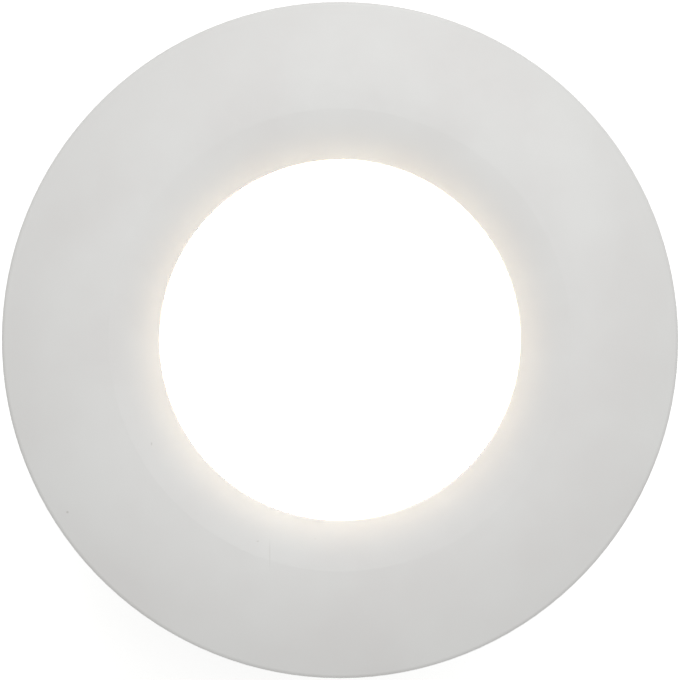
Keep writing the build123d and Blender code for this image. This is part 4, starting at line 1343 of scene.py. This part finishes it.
@dataclass
class Studio:
    """A pale floor, white surroundings, soft light and a camera straight above the light."""

    picture_px: float = 680.0
    ring_px: float = 676.3  # the ring's diameter in the picture
    ring_middle_px: tuple[float, float] = (340.0, 340.0)  # from the picture's upper left corner
    rim_h: float = 2.4 * MM  # height of the ring's widest edge, which the camera sees as its outline
    camera_h: float = 0.75
    sensor_mm: float = 36.0
    floor_w: float = 6.0
    floor_colour: str = "#e8e8e6"
    floor_drop: float = 0.2 * MM  # so that the sleeve's foot doesn't lie in the floor's own plane
    floor_lift: float = 0.62  # light that only the camera and reflections see
    surround: float = 0.535  # level of the surroundings as the object is lit by them
    lamps: tuple[SoftLamp, ...] = (
        SoftLamp("high_lamp", (0.09, 0.3, 1.0), 0.6, 3.4),
        SoftLamp("low_lamp", (0.09, 0.6, 0.36), 0.35, 1.05),
    )

    def build(self) -> None:
        """Makes the floor, the surroundings, the lamps and the camera."""
        self.floor()
        self.surroundings()
        for lamp in self.lamps:
            lamp.hang()
        self.camera()

    def seen(self, tree: Tree) -> Socket:
        """Tells the rays that show the background: from the camera, a reflection or a clear piece.

        Args:
            tree: the node tree.

        Returns:
            1 for such a ray and 0 for another.
        """
        path = add_node(tree, "ShaderNodeLightPath")
        first = add_node(
            tree,
            "ShaderNodeMath",
            {0: path.outputs["Is Camera Ray"], 1: path.outputs["Is Glossy Ray"]},
            operation="MAXIMUM",
        )
        both = add_node(
            tree,
            "ShaderNodeMath",
            {0: first.outputs[0], 1: path.outputs["Is Transmission Ray"]},
            operation="MAXIMUM",
        )
        return both.outputs[0]

    def floor(self) -> None:
        """Makes the floor, which shows white, keeps the light's shadow and is clear from below."""
        bm = bmesh.new()
        bmesh.ops.create_grid(bm, x_segments=1, y_segments=1, size=self.floor_w / 2)
        bmesh.ops.translate(bm, verts=bm.verts, vec=(0, 0, cad_box[0].z - self.floor_drop))
        mesh = bpy.data.meshes.new("floor")
        bm.to_mesh(mesh)
        bm.free()
        made = bpy.data.materials.new("floor_finish")
        made.use_nodes = True
        tree = made.node_tree
        tree.nodes.clear()
        matt = add_node(tree, "ShaderNodeBsdfDiffuse", {"Color": linear(self.floor_colour)})
        lift = rescale(tree, self.seen(tree), (0, 1), (0, self.floor_lift))
        glow = add_node(tree, "ShaderNodeEmission", {"Strength": lift})
        both = add_node(tree, "ShaderNodeAddShader", {0: matt.outputs[0], 1: glow.outputs[0]})
        below = add_node(tree, "ShaderNodeNewGeometry").outputs["Backfacing"]
        clear = add_node(tree, "ShaderNodeBsdfTransparent")
        sided = add_node(
            tree, "ShaderNodeMixShader", {0: below, 1: both.outputs[0], 2: clear.outputs[0]}
        )
        add_node(tree, "ShaderNodeOutputMaterial", {"Surface": sided.outputs[0]})
        mesh.materials.append(made)
        obj = bpy.data.objects.new("floor", mesh)
        bpy.context.collection.objects.link(obj)

    def surroundings(self) -> None:
        """Makes the world: white where it is seen, and a plain level where it lights."""
        world = bpy.data.worlds.new("surroundings")
        bpy.context.scene.world = world
        world.use_nodes = True
        tree = world.node_tree
        tree.nodes.clear()
        level = rescale(tree, self.seen(tree), (0, 1), (self.surround, 1.0))
        back = add_node(tree, "ShaderNodeBackground", {"Color": (1, 1, 1, 1), "Strength": level})
        add_node(tree, "ShaderNodeOutputWorld", {"Surface": back.outputs[0]})

    def camera(self) -> None:
        """Makes the camera, straight above, with the ring as large in the picture as it should be."""
        low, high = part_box("trim_ring")
        width = (high.x - low.x) * self.picture_px / self.ring_px
        pixel = width / self.picture_px
        middle = self.picture_px / 2
        data = bpy.data.cameras.new("camera")
        data.sensor_width = self.sensor_mm
        data.lens = self.sensor_mm * (self.camera_h - self.rim_h) / width
        obj = bpy.data.objects.new("camera", data)
        across, down = self.ring_middle_px
        obj.location = ((middle - across) * pixel, (down - middle) * pixel, self.camera_h)
        bpy.context.collection.objects.link(obj)
        bpy.context.scene.camera = obj


def main() -> None:
    """Dresses and completes the light, sub-assembly by sub-assembly, and sets the studio."""
    logging.basicConfig(level=logging.INFO, format="%(message)s")
    bpy.context.scene.view_settings.view_transform = "Standard"
    parts = (TrimFace(), Housing(), LightEngine(), Driver(), CableGland(), SpringClips(), GroundSleeve())
    for part in parts:
        part.build()
    Studio().build()


if __name__ == "__main__":
    main()
